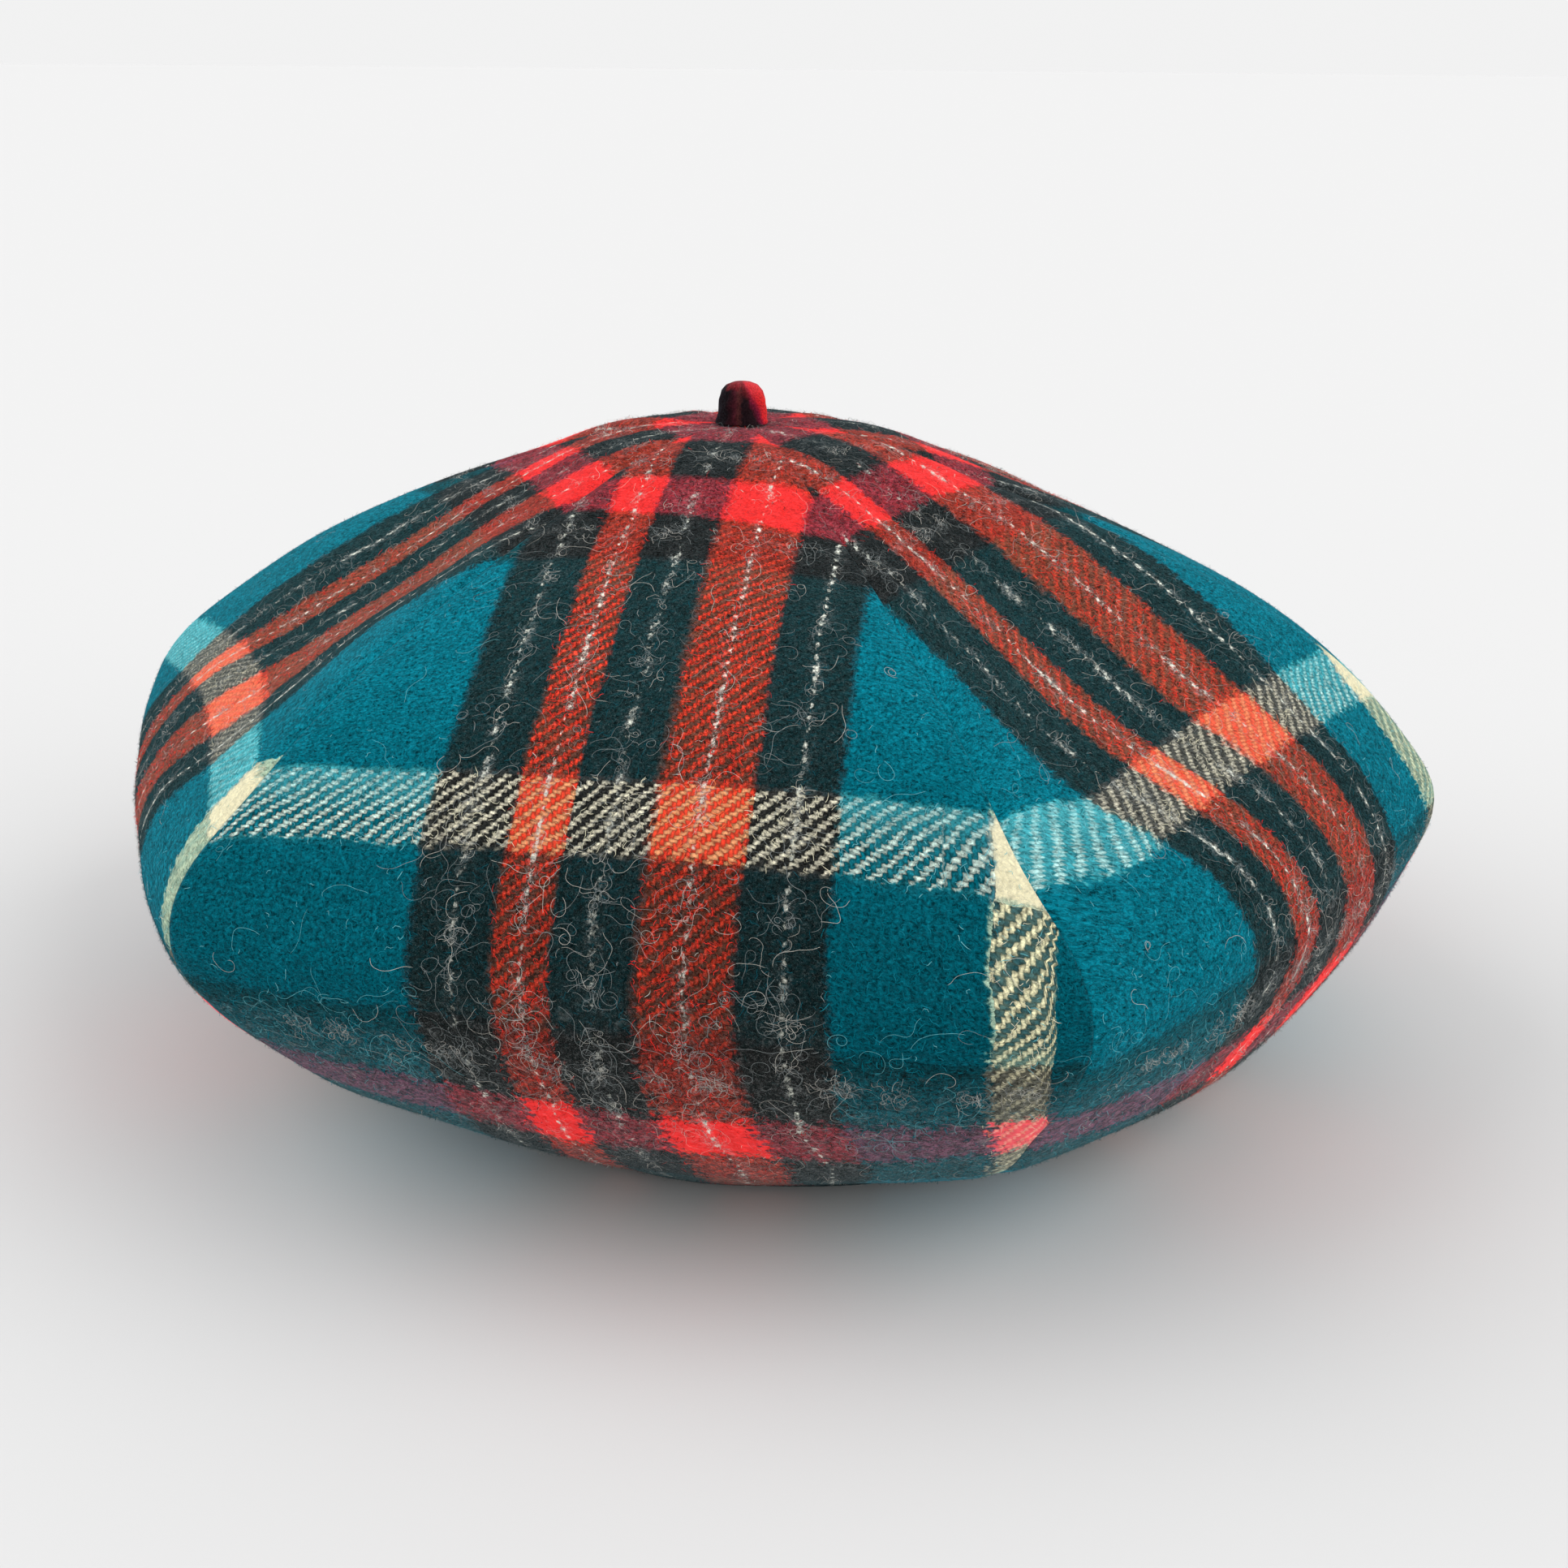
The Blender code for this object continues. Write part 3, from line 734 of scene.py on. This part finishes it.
def curled_hairs(random, gore, place, offset, hair, slots):
    """Long hairs that curl over one gore from the given places."""
    steps, step, bend = hair
    count = len(place)
    angle = random.uniform(0, 2 * math.pi, count)
    curl = random.normal(0, bend, count)
    metre_row = np.gradient(MERIDIAN.length, MERIDIAN.place)
    places, offsets = [place], [offset]
    for _ in range(steps - 1):
        angle = angle + curl * step
        curl = CURL_KEPT * curl + random.normal(0, CURL_CHANGE * bend, count)
        place = place + step * np.sin(angle) / MERIDIAN.at(metre_row, place)
        place = np.clip(place, 0.2, LAST_SECTION - 0.05)
        offset = offset + step * np.cos(angle) / np.maximum(MERIDIAN.at(MERIDIAN.radius, place), 3.0)
        places.append(place)
        offsets.append(offset)
    point, _, _, outward = surface_frame(np.stack(places, 1), gore, np.stack(offsets, 1))
    share = np.linspace(0.0, 1.0, steps)[None, :]
    wave = np.sin(share * random.uniform(4, 11, count)[:, None] + random.uniform(0, 6, count)[:, None])
    lift = (0.12 + random.uniform(0.05, 0.35, count)[:, None] * (1 + wave)) * np.minimum(1.0, 6 * share)
    paths = point + (lift * MM)[..., None] * outward
    return ribbons(paths, outward, random.uniform(*HAIR_WIDTHS, count) * MM, slots)


def loose_hairs(random, gore):
    place, offset = scattered_places(random, LOOSE_PLACES)
    u, v = cloth_coordinates(place, offset, gore)
    warp = stripe_kinds(u, WARP)
    chances, colours, shares = zip(*(LOOSE_HAIR_LOOKS[kind] for kind in YARN_KINDS))
    chance = np.maximum(np.array(chances)[warp], 0.5 * smooth_step(v, 150.0, 165.0))
    chance = chance * (1 + smooth_step(v, 145.0, 165.0))
    clumps = 1 + np.sin(0.23 * u + 0.31 * v + gore) + np.sin(0.41 * u - 0.19 * v + 2.0 * gore)
    seam_room = np.abs(offset) < 0.95 * SEAM_HALF_ANGLE
    kept = np.flatnonzero((random.random(len(u)) * 2.2 < chance * clumps) & seam_room)[:LOOSE_HAIRS]
    colour = np.array([FIBRE_SLOTS[name] for name in colours])[warp[kept]]
    plain = random.random(len(kept)) < np.array(shares)[warp[kept]]
    slots = np.where(plain, colour, FIBRE_SLOTS["pale"])
    return curled_hairs(random, gore, place[kept], offset[kept], LOOSE_HAIR, slots)


def tuft_hairs(random, gore):
    """Hairs brushed out of the pale yarns, in clumps along them."""
    place, offset = scattered_places(random, TUFT_PLACES)
    u, v = cloth_coordinates(place, offset, gore)
    kept = np.zeros(len(u), dtype=bool)
    for number in PALE_WARPS:
        clumps = np.sin(0.31 * v + 2.1 * number + gore) + np.sin(0.83 * v + 5.3 * number + 2 * gore)
        kept |= (np.abs(u - (number + 0.5) * YARN) < 0.9) & (clumps > 0.55)
    for number, down in enumerate(PALE_WEFTS):
        clumps = np.sin(0.29 * u + 1.7 * number + gore) + np.sin(0.71 * u + 4.1 * number + 2 * gore)
        kept |= (np.abs(v - down) < 1.6) & (clumps > 0.35)
    kept = np.flatnonzero(kept & (np.abs(offset) < 0.96 * SEAM_HALF_ANGLE))[:TUFT_HAIRS]
    pale = random.random(len(kept)) < TUFT_PALE_SHARE
    slots = np.where(pale, FIBRE_SLOTS["pale"], FIBRE_SLOTS["grey"])
    return curled_hairs(random, gore, place[kept], offset[kept], TUFT_HAIR, slots)


def make_nap(gore, materials):
    random = np.random.default_rng(NAP_SEED + gore)
    parts = [short_fibres(random, gore), loose_hairs(random, gore), tuft_hairs(random, gore)]
    return fibre_object(f"nap_{gore + 1}", parts, materials)


# ---------------------------------------------------------------- materials

class Value:
    """A number in a node tree. Arithmetic on it adds Math nodes."""

    def __init__(self, shader, socket):
        self.shader, self.socket = shader, socket

    def math(self, operation, other=0.0):
        return self.shader.math(operation, self, other)

    def __rsub__(self, other):
        return self.shader.math("SUBTRACT", other, self)

    __add__ = partialmethod(math, "ADD")
    __sub__ = partialmethod(math, "SUBTRACT")
    __mul__ = partialmethod(math, "MULTIPLY")
    __truediv__ = partialmethod(math, "DIVIDE")
    at_least = partialmethod(math, "MAXIMUM")
    at_most = partialmethod(math, "MINIMUM")

    def sine(self, factor):
        return (self * factor).math("SINE")

    def span(self, low, high, start=0.0, end=1.0):
        """start up to low, end from high on, and straight between them."""
        inputs = enumerate((self, low, high, start, end))
        return Value(self.shader, self.shader.node("MapRange", inputs, clamp=True).outputs["Result"])


class Shader:
    """Short calls for building the nodes of a material or a world."""

    def __init__(self, owner):
        owner.use_nodes = True
        self.owner = owner
        self.nodes, self.links = owner.node_tree.nodes, owner.node_tree.links
        self.surface = self.nodes.get("Principled BSDF")

    def put(self, socket, value):
        if isinstance(value, Value):
            value = value.socket
        if isinstance(value, bpy.types.NodeSocket):
            self.links.new(value, socket)
        elif isinstance(value, tuple) and len(value) == 3 and socket.type == "RGBA":
            socket.default_value = (*value, 1.0)
        else:
            socket.default_value = value

    def put_all(self, node, inputs):
        for key, value in inputs:
            self.put(node.inputs[key], value)

    def node(self, kind, inputs=(), **settings):
        """A new node. Its inputs are pairs of a name or number and a value."""
        node = self.nodes.new("ShaderNode" + kind)
        for name, value in settings.items():
            setattr(node, name, value)
        self.put_all(node, inputs)
        return node

    def math(self, operation, first, second):
        node = self.node("Math", enumerate((first, second)), operation=operation)
        return Value(self, node.outputs[0])

    def vector(self, operation, first, second, output="Vector"):
        return self.node("VectorMath", enumerate((first, second)), operation=operation).outputs[output]

    def mix(self, factor, first, second, blend="MIX"):
        inputs = zip((0, *MIX_COLOURS), (factor, first, second))
        return self.node("Mix", inputs, data_type="RGBA", blend_type=blend).outputs[MIX_RESULT]

    def scaled(self, colour, factor):
        return self.mix(1.0, colour, self.combine(factor, factor, factor), "MULTIPLY")

    def noise_node(self, place, scale, detail=2.0, roughness=0.5, distortion=0.0):
        names = ("Vector", "Scale", "Detail", "Roughness", "Distortion")
        return self.node("TexNoise", zip(names, (place, scale, detail, roughness, distortion)))

    def noise(self, place, settings):
        return Value(self, self.noise_node(place, *settings).outputs["Fac"])

    def moved(self, place, amount, scale, detail=1.0):
        """place pushed about by a noise, by up to half of amount each way."""
        colour = self.noise_node(place, scale, detail).outputs["Color"]
        push = self.node("VectorMath", operation="SCALE")
        self.put_all(push, ((0, self.vector("SUBTRACT", colour, (0.5, 0.5, 0.5))), ("Scale", amount)))
        return self.vector("ADD", place, push.outputs[0])

    def fibre_lines(self, place, scale, width, wander):
        """Thin curling lines, 1 on a fibre and 0 between: the level lines of a wandering noise."""
        from_level = self.noise(place, (scale, 1.0, 0.5, wander)) - 0.5
        return from_level.math("ABSOLUTE").span(0.0, width, 1.0, 0.0)

    def ramp(self, value, table, limits, interpolation="LINEAR"):
        """Colour and alpha at a value, from a table of positions and colours."""
        low, high = limits
        node = self.node("ValToRGB", [(0, value.span(low, high))])
        node.color_ramp.interpolation = interpolation
        stops = node.color_ramp.elements
        for number, (start, colour) in enumerate(table):
            position = min(1.0, max(0.0, (start - low) / (high - low)))
            if number < 2:
                stop = stops[number]
                stop.position = position
            else:
                stop = stops.new(position)
            stop.color = colour if len(colour) == 4 else (*colour, 1.0)
        return node.outputs["Color"], Value(self, node.outputs["Alpha"])

    def stripes(self, value, table, limits, blur=0.0):
        """Colour and cover of the stripe at a value. A blur joins the stripes softly."""
        if not blur:
            return self.ramp(value, table, limits, "CONSTANT")
        soft = [table[0]]
        for (_, before), (start, colour) in zip(table, table[1:]):
            soft += [(start - blur, before), (start + blur, colour)]
        return self.ramp(value, soft, limits)

    def lines(self, value, places, blur, limits):
        """1 at the given places, falling to 0 at a blur's distance."""
        profile = ((-blur, BLACK), (0.0, WHITE), (blur, BLACK))
        table = [(place + step, colour) for place in places for step, colour in profile]
        return Value(self, self.ramp(value, table, limits)[0])

    def split(self, kind, whole):
        return [Value(self, part) for part in self.node(kind, [(0, whole)]).outputs[:3]]

    def channels(self, colour):
        return self.split("SeparateColor", colour)

    def separate(self, vector):
        return self.split("SeparateXYZ", vector)

    def combine(self, *values):
        return self.node("CombineXYZ", enumerate(values)).outputs[0]

    def dyed(self, first, second, share):
        """Two colours mixed as dyes in one nap: each channel the weighted geometric mean."""
        mixed = []
        for one, two in zip(self.channels(first), self.channels(second)):
            one, two = one.at_least(FAINTEST), two.at_least(FAINTEST)
            mixed.append(one.math("POWER", 1.0 - share) * two.math("POWER", share))
        return self.combine(*mixed)

    def cloth_place(self):
        return self.node("Attribute", attribute_name="cloth").outputs["Vector"]

    def bump(self, height, strength, distance):
        inputs = (("Strength", strength), ("Distance", distance), ("Height", height))
        self.put(self.surface.inputs["Normal"], self.node("Bump", inputs).outputs["Normal"])

    def wool_surface(self, colour):
        self.put_all(self.surface, (("Base Color", colour), *WOOL_SURFACE.items()))


def new_material(name):
    return Shader(bpy.data.materials.new(name))


class Tartan(Shader):
    """The tartan: yarns in a 2/2 twill where the weave shows, and a matted nap over the rest."""

    def __init__(self):
        super().__init__(bpy.data.materials.new("tartan_wool_fulled"))
        self.cloth = self.cloth_place()
        self.drifted = self.moved(self.cloth, *DRIFT)
        uneven = self.moved(self.drifted, *UNEVEN_YARNS)
        self.u, self.v, _ = self.separate(self.moved(uneven, *UNEVEN_FLOATS))
        self.round_way = self.separate(self.cloth)[2]
        self.off_front = self.round_way.span(0.0, GORE_STEP)
        self.turned_under = self.v.span(*TURNED_UNDER)
        self.curls = self.fibre_lines(self.cloth, 0.9, 0.015, 1.8)
        elsewhere = self.vector("ADD", self.cloth, (31.0, 7.0, 3.0))
        self.fine_curls = self.fibre_lines(elsewhere, 1.7, 0.020, 1.2)
        self.any_curl = self.curls.at_least(self.fine_curls)
        self.mottle = self.noise(self.cloth, MOTTLE)

    def weave(self):
        """Yarn by yarn. Each floats over two others: along a float the sine is positive, and of
        the two sines at a point just one is, so the floats step one yarn at each pick."""
        pick = self.u.span(*OPEN_PICKS_START, YARN, OPEN_PICK)
        across, down = self.u / YARN, self.v / pick
        warp_yarn, weft_yarn = across.math("FLOOR"), down.math("FLOOR")
        self.warp, _ = self.stripes(warp_yarn * YARN + YARN / 2, WARP, WARP_RANGE)
        self.weft, weft_share = self.stripes((weft_yarn + 0.5) * pick, WEFT, WEFT_RANGE)
        quarter = math.pi / 2
        self.warp_float = (warp_yarn + down).sine(quarter)
        weft_float = (across + weft_yarn).sine(-quarter)
        warp_height = self.warp_float * across.math("FRACT").sine(math.pi)
        weft_height = weft_float * down.math("FRACT").sine(math.pi)
        self.yarn_height = warp_height.at_least(weft_height)

        red, _, blue = self.channels(self.warp)
        on_red = (red - blue).span(0.4, 0.8)
        on_teal = blue.span(*BLUE_OF_TEAL) * red.span(*RED_OF_CREAM, 1.0, 0.0)
        # painted shade: a weft that lies under the warp floats is darkened, the more the lower its share
        shaded_weft = self.scaled(self.weft, weft_share.span(0.37, 0.54, 0.40, 1.0))
        shaded_weft = self.mix(on_red, shaded_weft, WEFT_ON_RED, "MULTIPLY")
        shaded_weft = self.mix(on_red, shaded_weft, RED_FLUFF, "ADD")
        shaded_weft = self.mix(on_teal, shaded_weft, WEFT_ON_TEAL, "MULTIPLY")
        thinned = self.noise(self.cloth, THINNED).span(0.30, 0.60, 0.66, 1.22)
        # painted shade between the yarns: each yarn darkens from its crown to its edges
        shade = self.yarn_height.math("POWER", 0.6) * 0.98 + 0.14
        weft_up = weft_float.math("GREATER_THAN", 0.0)
        self.woven = self.scaled(self.mix(weft_up, self.warp, shaded_weft), shade * thinned)

    def mat(self):
        """The same stripes with soft uneven edges, their colours mixed as dyes."""
        fray = self.off_front * 2.0 + 3.0 + self.turned_under * 8.5
        self.soft_u, self.soft_v, _ = self.separate(self.moved(self.drifted, fray, *FRAY))
        warp, _ = self.stripes(self.soft_u, WARP, WARP_RANGE, 0.5)
        weft, share = self.stripes(self.soft_v, WEFT, WEFT_RANGE, 0.5)
        red, _, blue = self.channels(warp)
        _, weft_green, weft_blue = self.channels(weft)
        self.reddish = (red - blue).span(0.2, 0.6)
        self.bluish = blue.span(*BLUE_OF_TEAL)
        self.teal_warp = self.bluish * red.span(*RED_OF_CREAM, 1.0, 0.0)
        self.creamy_warp = self.bluish - self.teal_warp
        self.creamy_weft = weft_green.span(0.3, 0.6)

        in_red_band = self.v.span(173.0, 178.0)
        on_teal = self.v.span(150.0, 160.0, 0.08, -0.12) + in_red_band * 0.12
        on_cream = self.v.span(150.0, 165.0, -0.12, 0.12) - in_red_band * 0.20
        share = share + self.teal_warp * on_teal + self.creamy_warp * on_cream - self.reddish * 0.09
        matted = self.dyed(warp, weft, share)
        matted = self.mix(self.teal_warp * self.creamy_weft * 0.6, matted, SKY)
        teal_weft = weft_blue.span(*BLUE_OF_TEAL) - self.creamy_weft
        self.matted = self.mix(self.creamy_warp * teal_weft * 0.65, matted, WORN_CREAM)
        red, green, _ = self.channels(self.matted)
        self.vivid = red.span(0.60, 0.85)
        self.calm = green.span(0.35, 0.65, 0.0, 0.7).at_least(self.vivid * 0.6)

    def weave_shows(self):
        """How clear the weave is: best down the side of the crown, and not where warp and weft
        are alike. In the cream band it shows on teal only near the band's lower edge."""
        unlike = Value(self, self.vector("DISTANCE", self.warp, self.weft, "Value"))
        creamy = self.creamy_weft.at_least(self.creamy_warp)
        other_weft = 1.0 - self.creamy_weft
        further_round = self.round_way.span(GORE_STEP, 2 * GORE_STEP, 0.5, 0.8)
        hidden = (
            self.noise(self.cloth, WORN_PATCHES).span(0.34, 0.62, 0.05, 0.50) * (1.0 - creamy * 0.65),
            self.bluish * self.v.span(119.0, 125.0, 0.45, 0.0),
            self.reddish * 0.15,
            self.teal_warp * other_weft,
            self.off_front * further_round,
            (1.0 - self.reddish) * (1.0 - self.bluish) * other_weft * 0.75,
        )
        clear = unlike.span(0.14, 0.28) * self.v.span(48.0, 78.0, 0.25, 1.0)
        clear = clear * self.v.span(152.0, 166.0, 1.0, 0.25)
        for share in hidden:
            clear = clear * (1.0 - share)
        return clear

    def pale_yarns(self, colour):
        """Pale yarns, bright where they float, with a patchy halo of their own fibres."""
        worn = self.noise(self.vector("MULTIPLY", self.cloth, (1.0, 0.5, 1.0)), WORN_DOWN_YARN)
        worn_across = self.noise(self.vector("ADD", self.cloth, (7.0, 51.0, 3.0)), WORN_ACROSS)
        rough = self.noise(self.cloth, ROUGH)
        places = [(yarn + 0.5) * YARN for yarn in PALE_WARPS]
        floats = self.warp_float.at_least(0.0) * 0.6 + 0.4
        line = self.lines(self.u, places, 0.8, WARP_RANGE) * floats
        bright = (line + rough * 1.3 + worn * 1.4).span(1.72, 2.22, 0.0, 0.92) * line.span(0.05, 0.30)
        halo = self.lines(self.soft_u, places, 1.7, WARP_RANGE) * worn.span(0.46, 0.62, 0.05, 1.2)
        weft_halo = self.lines(self.soft_v, PALE_WEFTS, 1.6, WEFT_RANGE) * worn_across.span(0.48, 0.62)
        halo = halo.at_least(weft_halo) * rough.span(0.42, 0.62, 0.0, 0.5)
        halo = halo * (self.any_curl * 1.2 + 0.45)
        return self.mix(bright, self.mix(halo, colour, HAZE), PALE)

    def mottled(self, colour):
        """Fibres of mixed direction, lighter where they catch light and darker between. Painted shade
        darkens the lower half of the gores, most on the front one, and painted light brightens the edge
        where the cloth turns under.
        """
        v = self.v
        gain = self.mottle * 5.0 - 1.64 + self.curls * 0.75 + self.fine_curls * 0.6
        gain = gain * self.noise(self.cloth, BROAD_MOTTLE).span(0.25, 0.75, 0.88, 1.10)
        # painted shade: the lower half is darker, most on the front gore; painted light lifts the edge
        # where the cloth turns under
        lower = v.span(95.0, 140.0) * v.span(160.0, 190.0, 1.0, 0.3)
        front_shade = (1.0 - self.off_front) * (1.0 - self.creamy_warp) * self.u.span(0.0, 40.0, 0.38, 0.50)
        painted_shade_and_light = lower * (self.off_front * 0.06 + front_shade) - v.span(162.0, 190.0, 0.0, 0.50)
        gain = (gain * (1.06 - painted_shade_and_light)).at_least(0.16).at_most(1.9)
        felted = self.turned_under.at_least(v.span(*CROWN_FELTED, 0.7, 0.0))
        blotch = self.noise(self.cloth, BLOTCHES).span(0.36, 0.64, -0.60, 0.40)
        gain = gain * (blotch * felted + 1.0)
        # painted light: the calm colours are lifted where the cloth turns under
        even = self.turned_under * 0.50 + v.span(60.0, 116.0, 0.95, 1.06)
        return self.scaled(colour, gain + self.calm * (even - gain))

    def hazy(self, colour):
        """A pale fuzz, mostly on the crown, along the lower edge and not on bright red."""
        v = self.v
        felted = v.span(20.0, 65.0, 1.0, 0.0).at_least(v.span(150.0, 165.0))
        wisps = self.noise(self.cloth, WISPS).span(0.55, 0.72) * felted * 0.16
        haze = wisps + self.any_curl * 0.10 + v.span(150.0, 196.0) * (self.any_curl * 0.30 + 0.05)
        bands = (1.0 - self.bluish).at_least(v.span(158.0, 174.0))
        return self.mix(haze * (bands * 0.94 + 0.06) * (1.0 - self.vivid * 0.85), colour, HAZE)

    def finished(self):
        self.weave()
        self.mat()
        colour = self.mix(self.weave_shows(), self.matted, self.woven)
        self.wool_surface(self.hazy(self.mottled(self.pale_yarns(colour))))
        height = self.mottle + self.yarn_height * 0.6 + self.curls * 0.35 + self.fine_curls * 0.2
        self.bump(height, 0.6, BUMP_DEPTH)
        return self.owner


def brushed_wool(name):
    """A new material with its cloth coordinates, its mottle and its fibres."""
    shader = new_material(name)
    cloth = shader.cloth_place()
    return shader, cloth, shader.noise(cloth, WOOL_MOTTLE), shader.fibre_lines(cloth, *WOOL_FIBRES)


def stalk_material():
    """The roll's wool, whose stripes run up it: dark, wine and bright red."""
    shader, cloth, mottle, fibres = brushed_wool("stalk_wool_rolled")
    right, up, front = shader.separate(shader.moved(cloth, *STALK_UNEVENNESS))
    turn = shader.math("ARCTAN2", right, front) + (up - 4.0) * right.span(0.0, 2.0, 0.0, STALK_LEAN)
    stripes = [(math.radians(start), colour) for start, colour in STALK_STRIPES]
    colour, _ = shader.ramp(turn, stripes, (-math.pi, math.pi))
    rim = (up.span(5.0, 8.0) * right.span(-1.0, 3.5)).at_least(up.span(7.3, 8.5, 0.0, 0.45))
    colour = shader.mix(rim * 0.8, colour, STALK_RIM)
    gain = (mottle * 2.2 - 0.25 + fibres * 0.5).at_least(0.2)
    shader.wool_surface(shader.scaled(colour, gain))
    shader.bump(fibres * 0.4 + mottle, 0.7, WOOL_BUMP_DEPTH)
    return shader.owner


def hem_material():
    """Wool of one colour."""
    shader, _, mottle, fibres = brushed_wool("hem_wool_brushed")
    colour = shader.scaled(HEM_COLOUR, mottle + 0.65 + fibres * 0.6)
    shader.wool_surface(shader.mix(fibres * 0.06, colour, HEM_FUZZ))
    shader.bump(fibres * 0.3 + mottle, 0.7, WOOL_BUMP_DEPTH)
    return shader.owner


def nap_materials():
    """A plain material for each colour of fibre."""
    shaders = [new_material(f"fibre_{name}") for name in FIBRE_COLOURS]
    for shader, colour in zip(shaders, FIBRE_COLOURS.values()):
        shader.wool_surface(colour)
    return [shader.owner for shader in shaders]


# ---------------------------------------------------------------- stage

def make_floor():
    turn = np.linspace(0, 2 * math.pi, FLOOR_CORNERS, endpoint=False)
    rim = np.stack([FLOOR_RADIUS * np.cos(turn), FLOOR_RADIUS * np.sin(turn), 0 * turn], -1)
    shader = new_material("pale_floor")
    tone = ("Base Color", (FLOOR_TONE, FLOOR_TONE, FLOOR_TONE))
    shader.put_all(shader.surface, (tone, ("Roughness", 1.0), ("Specular IOR Level", 0.0)))
    floor_mesh = bpy.data.meshes.new("floor")
    floor_mesh.from_pydata(rim.tolist(), [], [list(range(FLOOR_CORNERS))])
    floor_mesh.materials.append(shader.owner)
    floor = linked_object("floor", floor_mesh)


def make_light():
    """A white sky, darker high up in front, and two wide softboxes."""
    world = bpy.data.worlds.new("studio")
    bpy.context.scene.world = world
    sky = Shader(world)
    _, back, up = sky.separate(sky.node("TexCoord").outputs["Generated"])
    high_front = back.span(-0.5, 0.1, 1.0, 0.0) * up.span(*FRONT_SKY_BLEND)
    tone = up.span(*SKY_BLEND, HORIZON_TONE, ZENITH_TONE)
    tone = tone * high_front.span(0.0, 1.0, 1.0, FRONT_SKY_SHARE)
    sky.put_all(sky.nodes["Background"], (("Color", WHITE), ("Strength", tone)))
    for name, strength, width, elevation, azimuth in LIGHTS:
        sun = bpy.data.lights.new(name, "SUN")
        sun.energy = strength
        sun.angle = math.radians(width)
        light = linked_object(name, sun)
        light.rotation_euler = (math.radians(90.0 - elevation), 0.0, math.radians(azimuth))


def make_camera():
    camera_data = bpy.data.cameras.new("camera")
    camera_data.sensor_width = SENSOR_WIDTH
    camera_data.lens = FOCAL_PIXELS / PHOTO_WIDTH * SENSOR_WIDTH
    camera_data.shift_x = OBJECT_LEFT_PIXELS / PHOTO_WIDTH
    camera_data.shift_y = -OBJECT_UP_PIXELS / PHOTO_WIDTH
    camera_data.clip_start, camera_data.clip_end = CAMERA_CLIP
    camera = linked_object("camera", camera_data)
    camera.location = (
        -PLAN_MIDDLE[0] * MM,
        (-CAMERA_DISTANCE * math.cos(CAMERA_ELEVATION) - PLAN_MIDDLE[1]) * MM,
        (CAMERA_DISTANCE * math.sin(CAMERA_ELEVATION) + AIM_HEIGHT) * MM,
    )
    tilt = Matrix.Rotation(math.pi / 2 - CAMERA_ELEVATION, 4, "X")
    camera.rotation_euler = (tilt @ Matrix.Rotation(CAMERA_ROLL, 4, "Z")).to_euler()
    bpy.context.scene.camera = camera
    bpy.context.scene.view_settings.view_transform = "Standard"


# ---------------------------------------------------------------- build

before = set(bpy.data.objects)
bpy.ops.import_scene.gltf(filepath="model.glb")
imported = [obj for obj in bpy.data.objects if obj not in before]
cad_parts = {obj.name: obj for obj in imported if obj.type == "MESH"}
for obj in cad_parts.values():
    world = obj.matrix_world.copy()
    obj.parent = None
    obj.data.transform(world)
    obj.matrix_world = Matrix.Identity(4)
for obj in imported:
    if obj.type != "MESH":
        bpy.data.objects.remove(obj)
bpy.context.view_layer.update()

tartan = Tartan().finished()
fibres = nap_materials()
for gore in range(GORE_COUNT):
    nap = make_nap(gore, fibres)
    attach(nap, "root")
    cloth_piece = make_gore(gore, tartan)
    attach(cloth_piece, "root")
    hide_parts(f"gore_{gore + 1}")

roll = make_stalk(stalk_material())
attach(roll, "root")
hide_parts("stalk")
hem = make_hem(hem_material())
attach(hem, "root")
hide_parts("hem")

make_floor()
make_light()
make_camera()
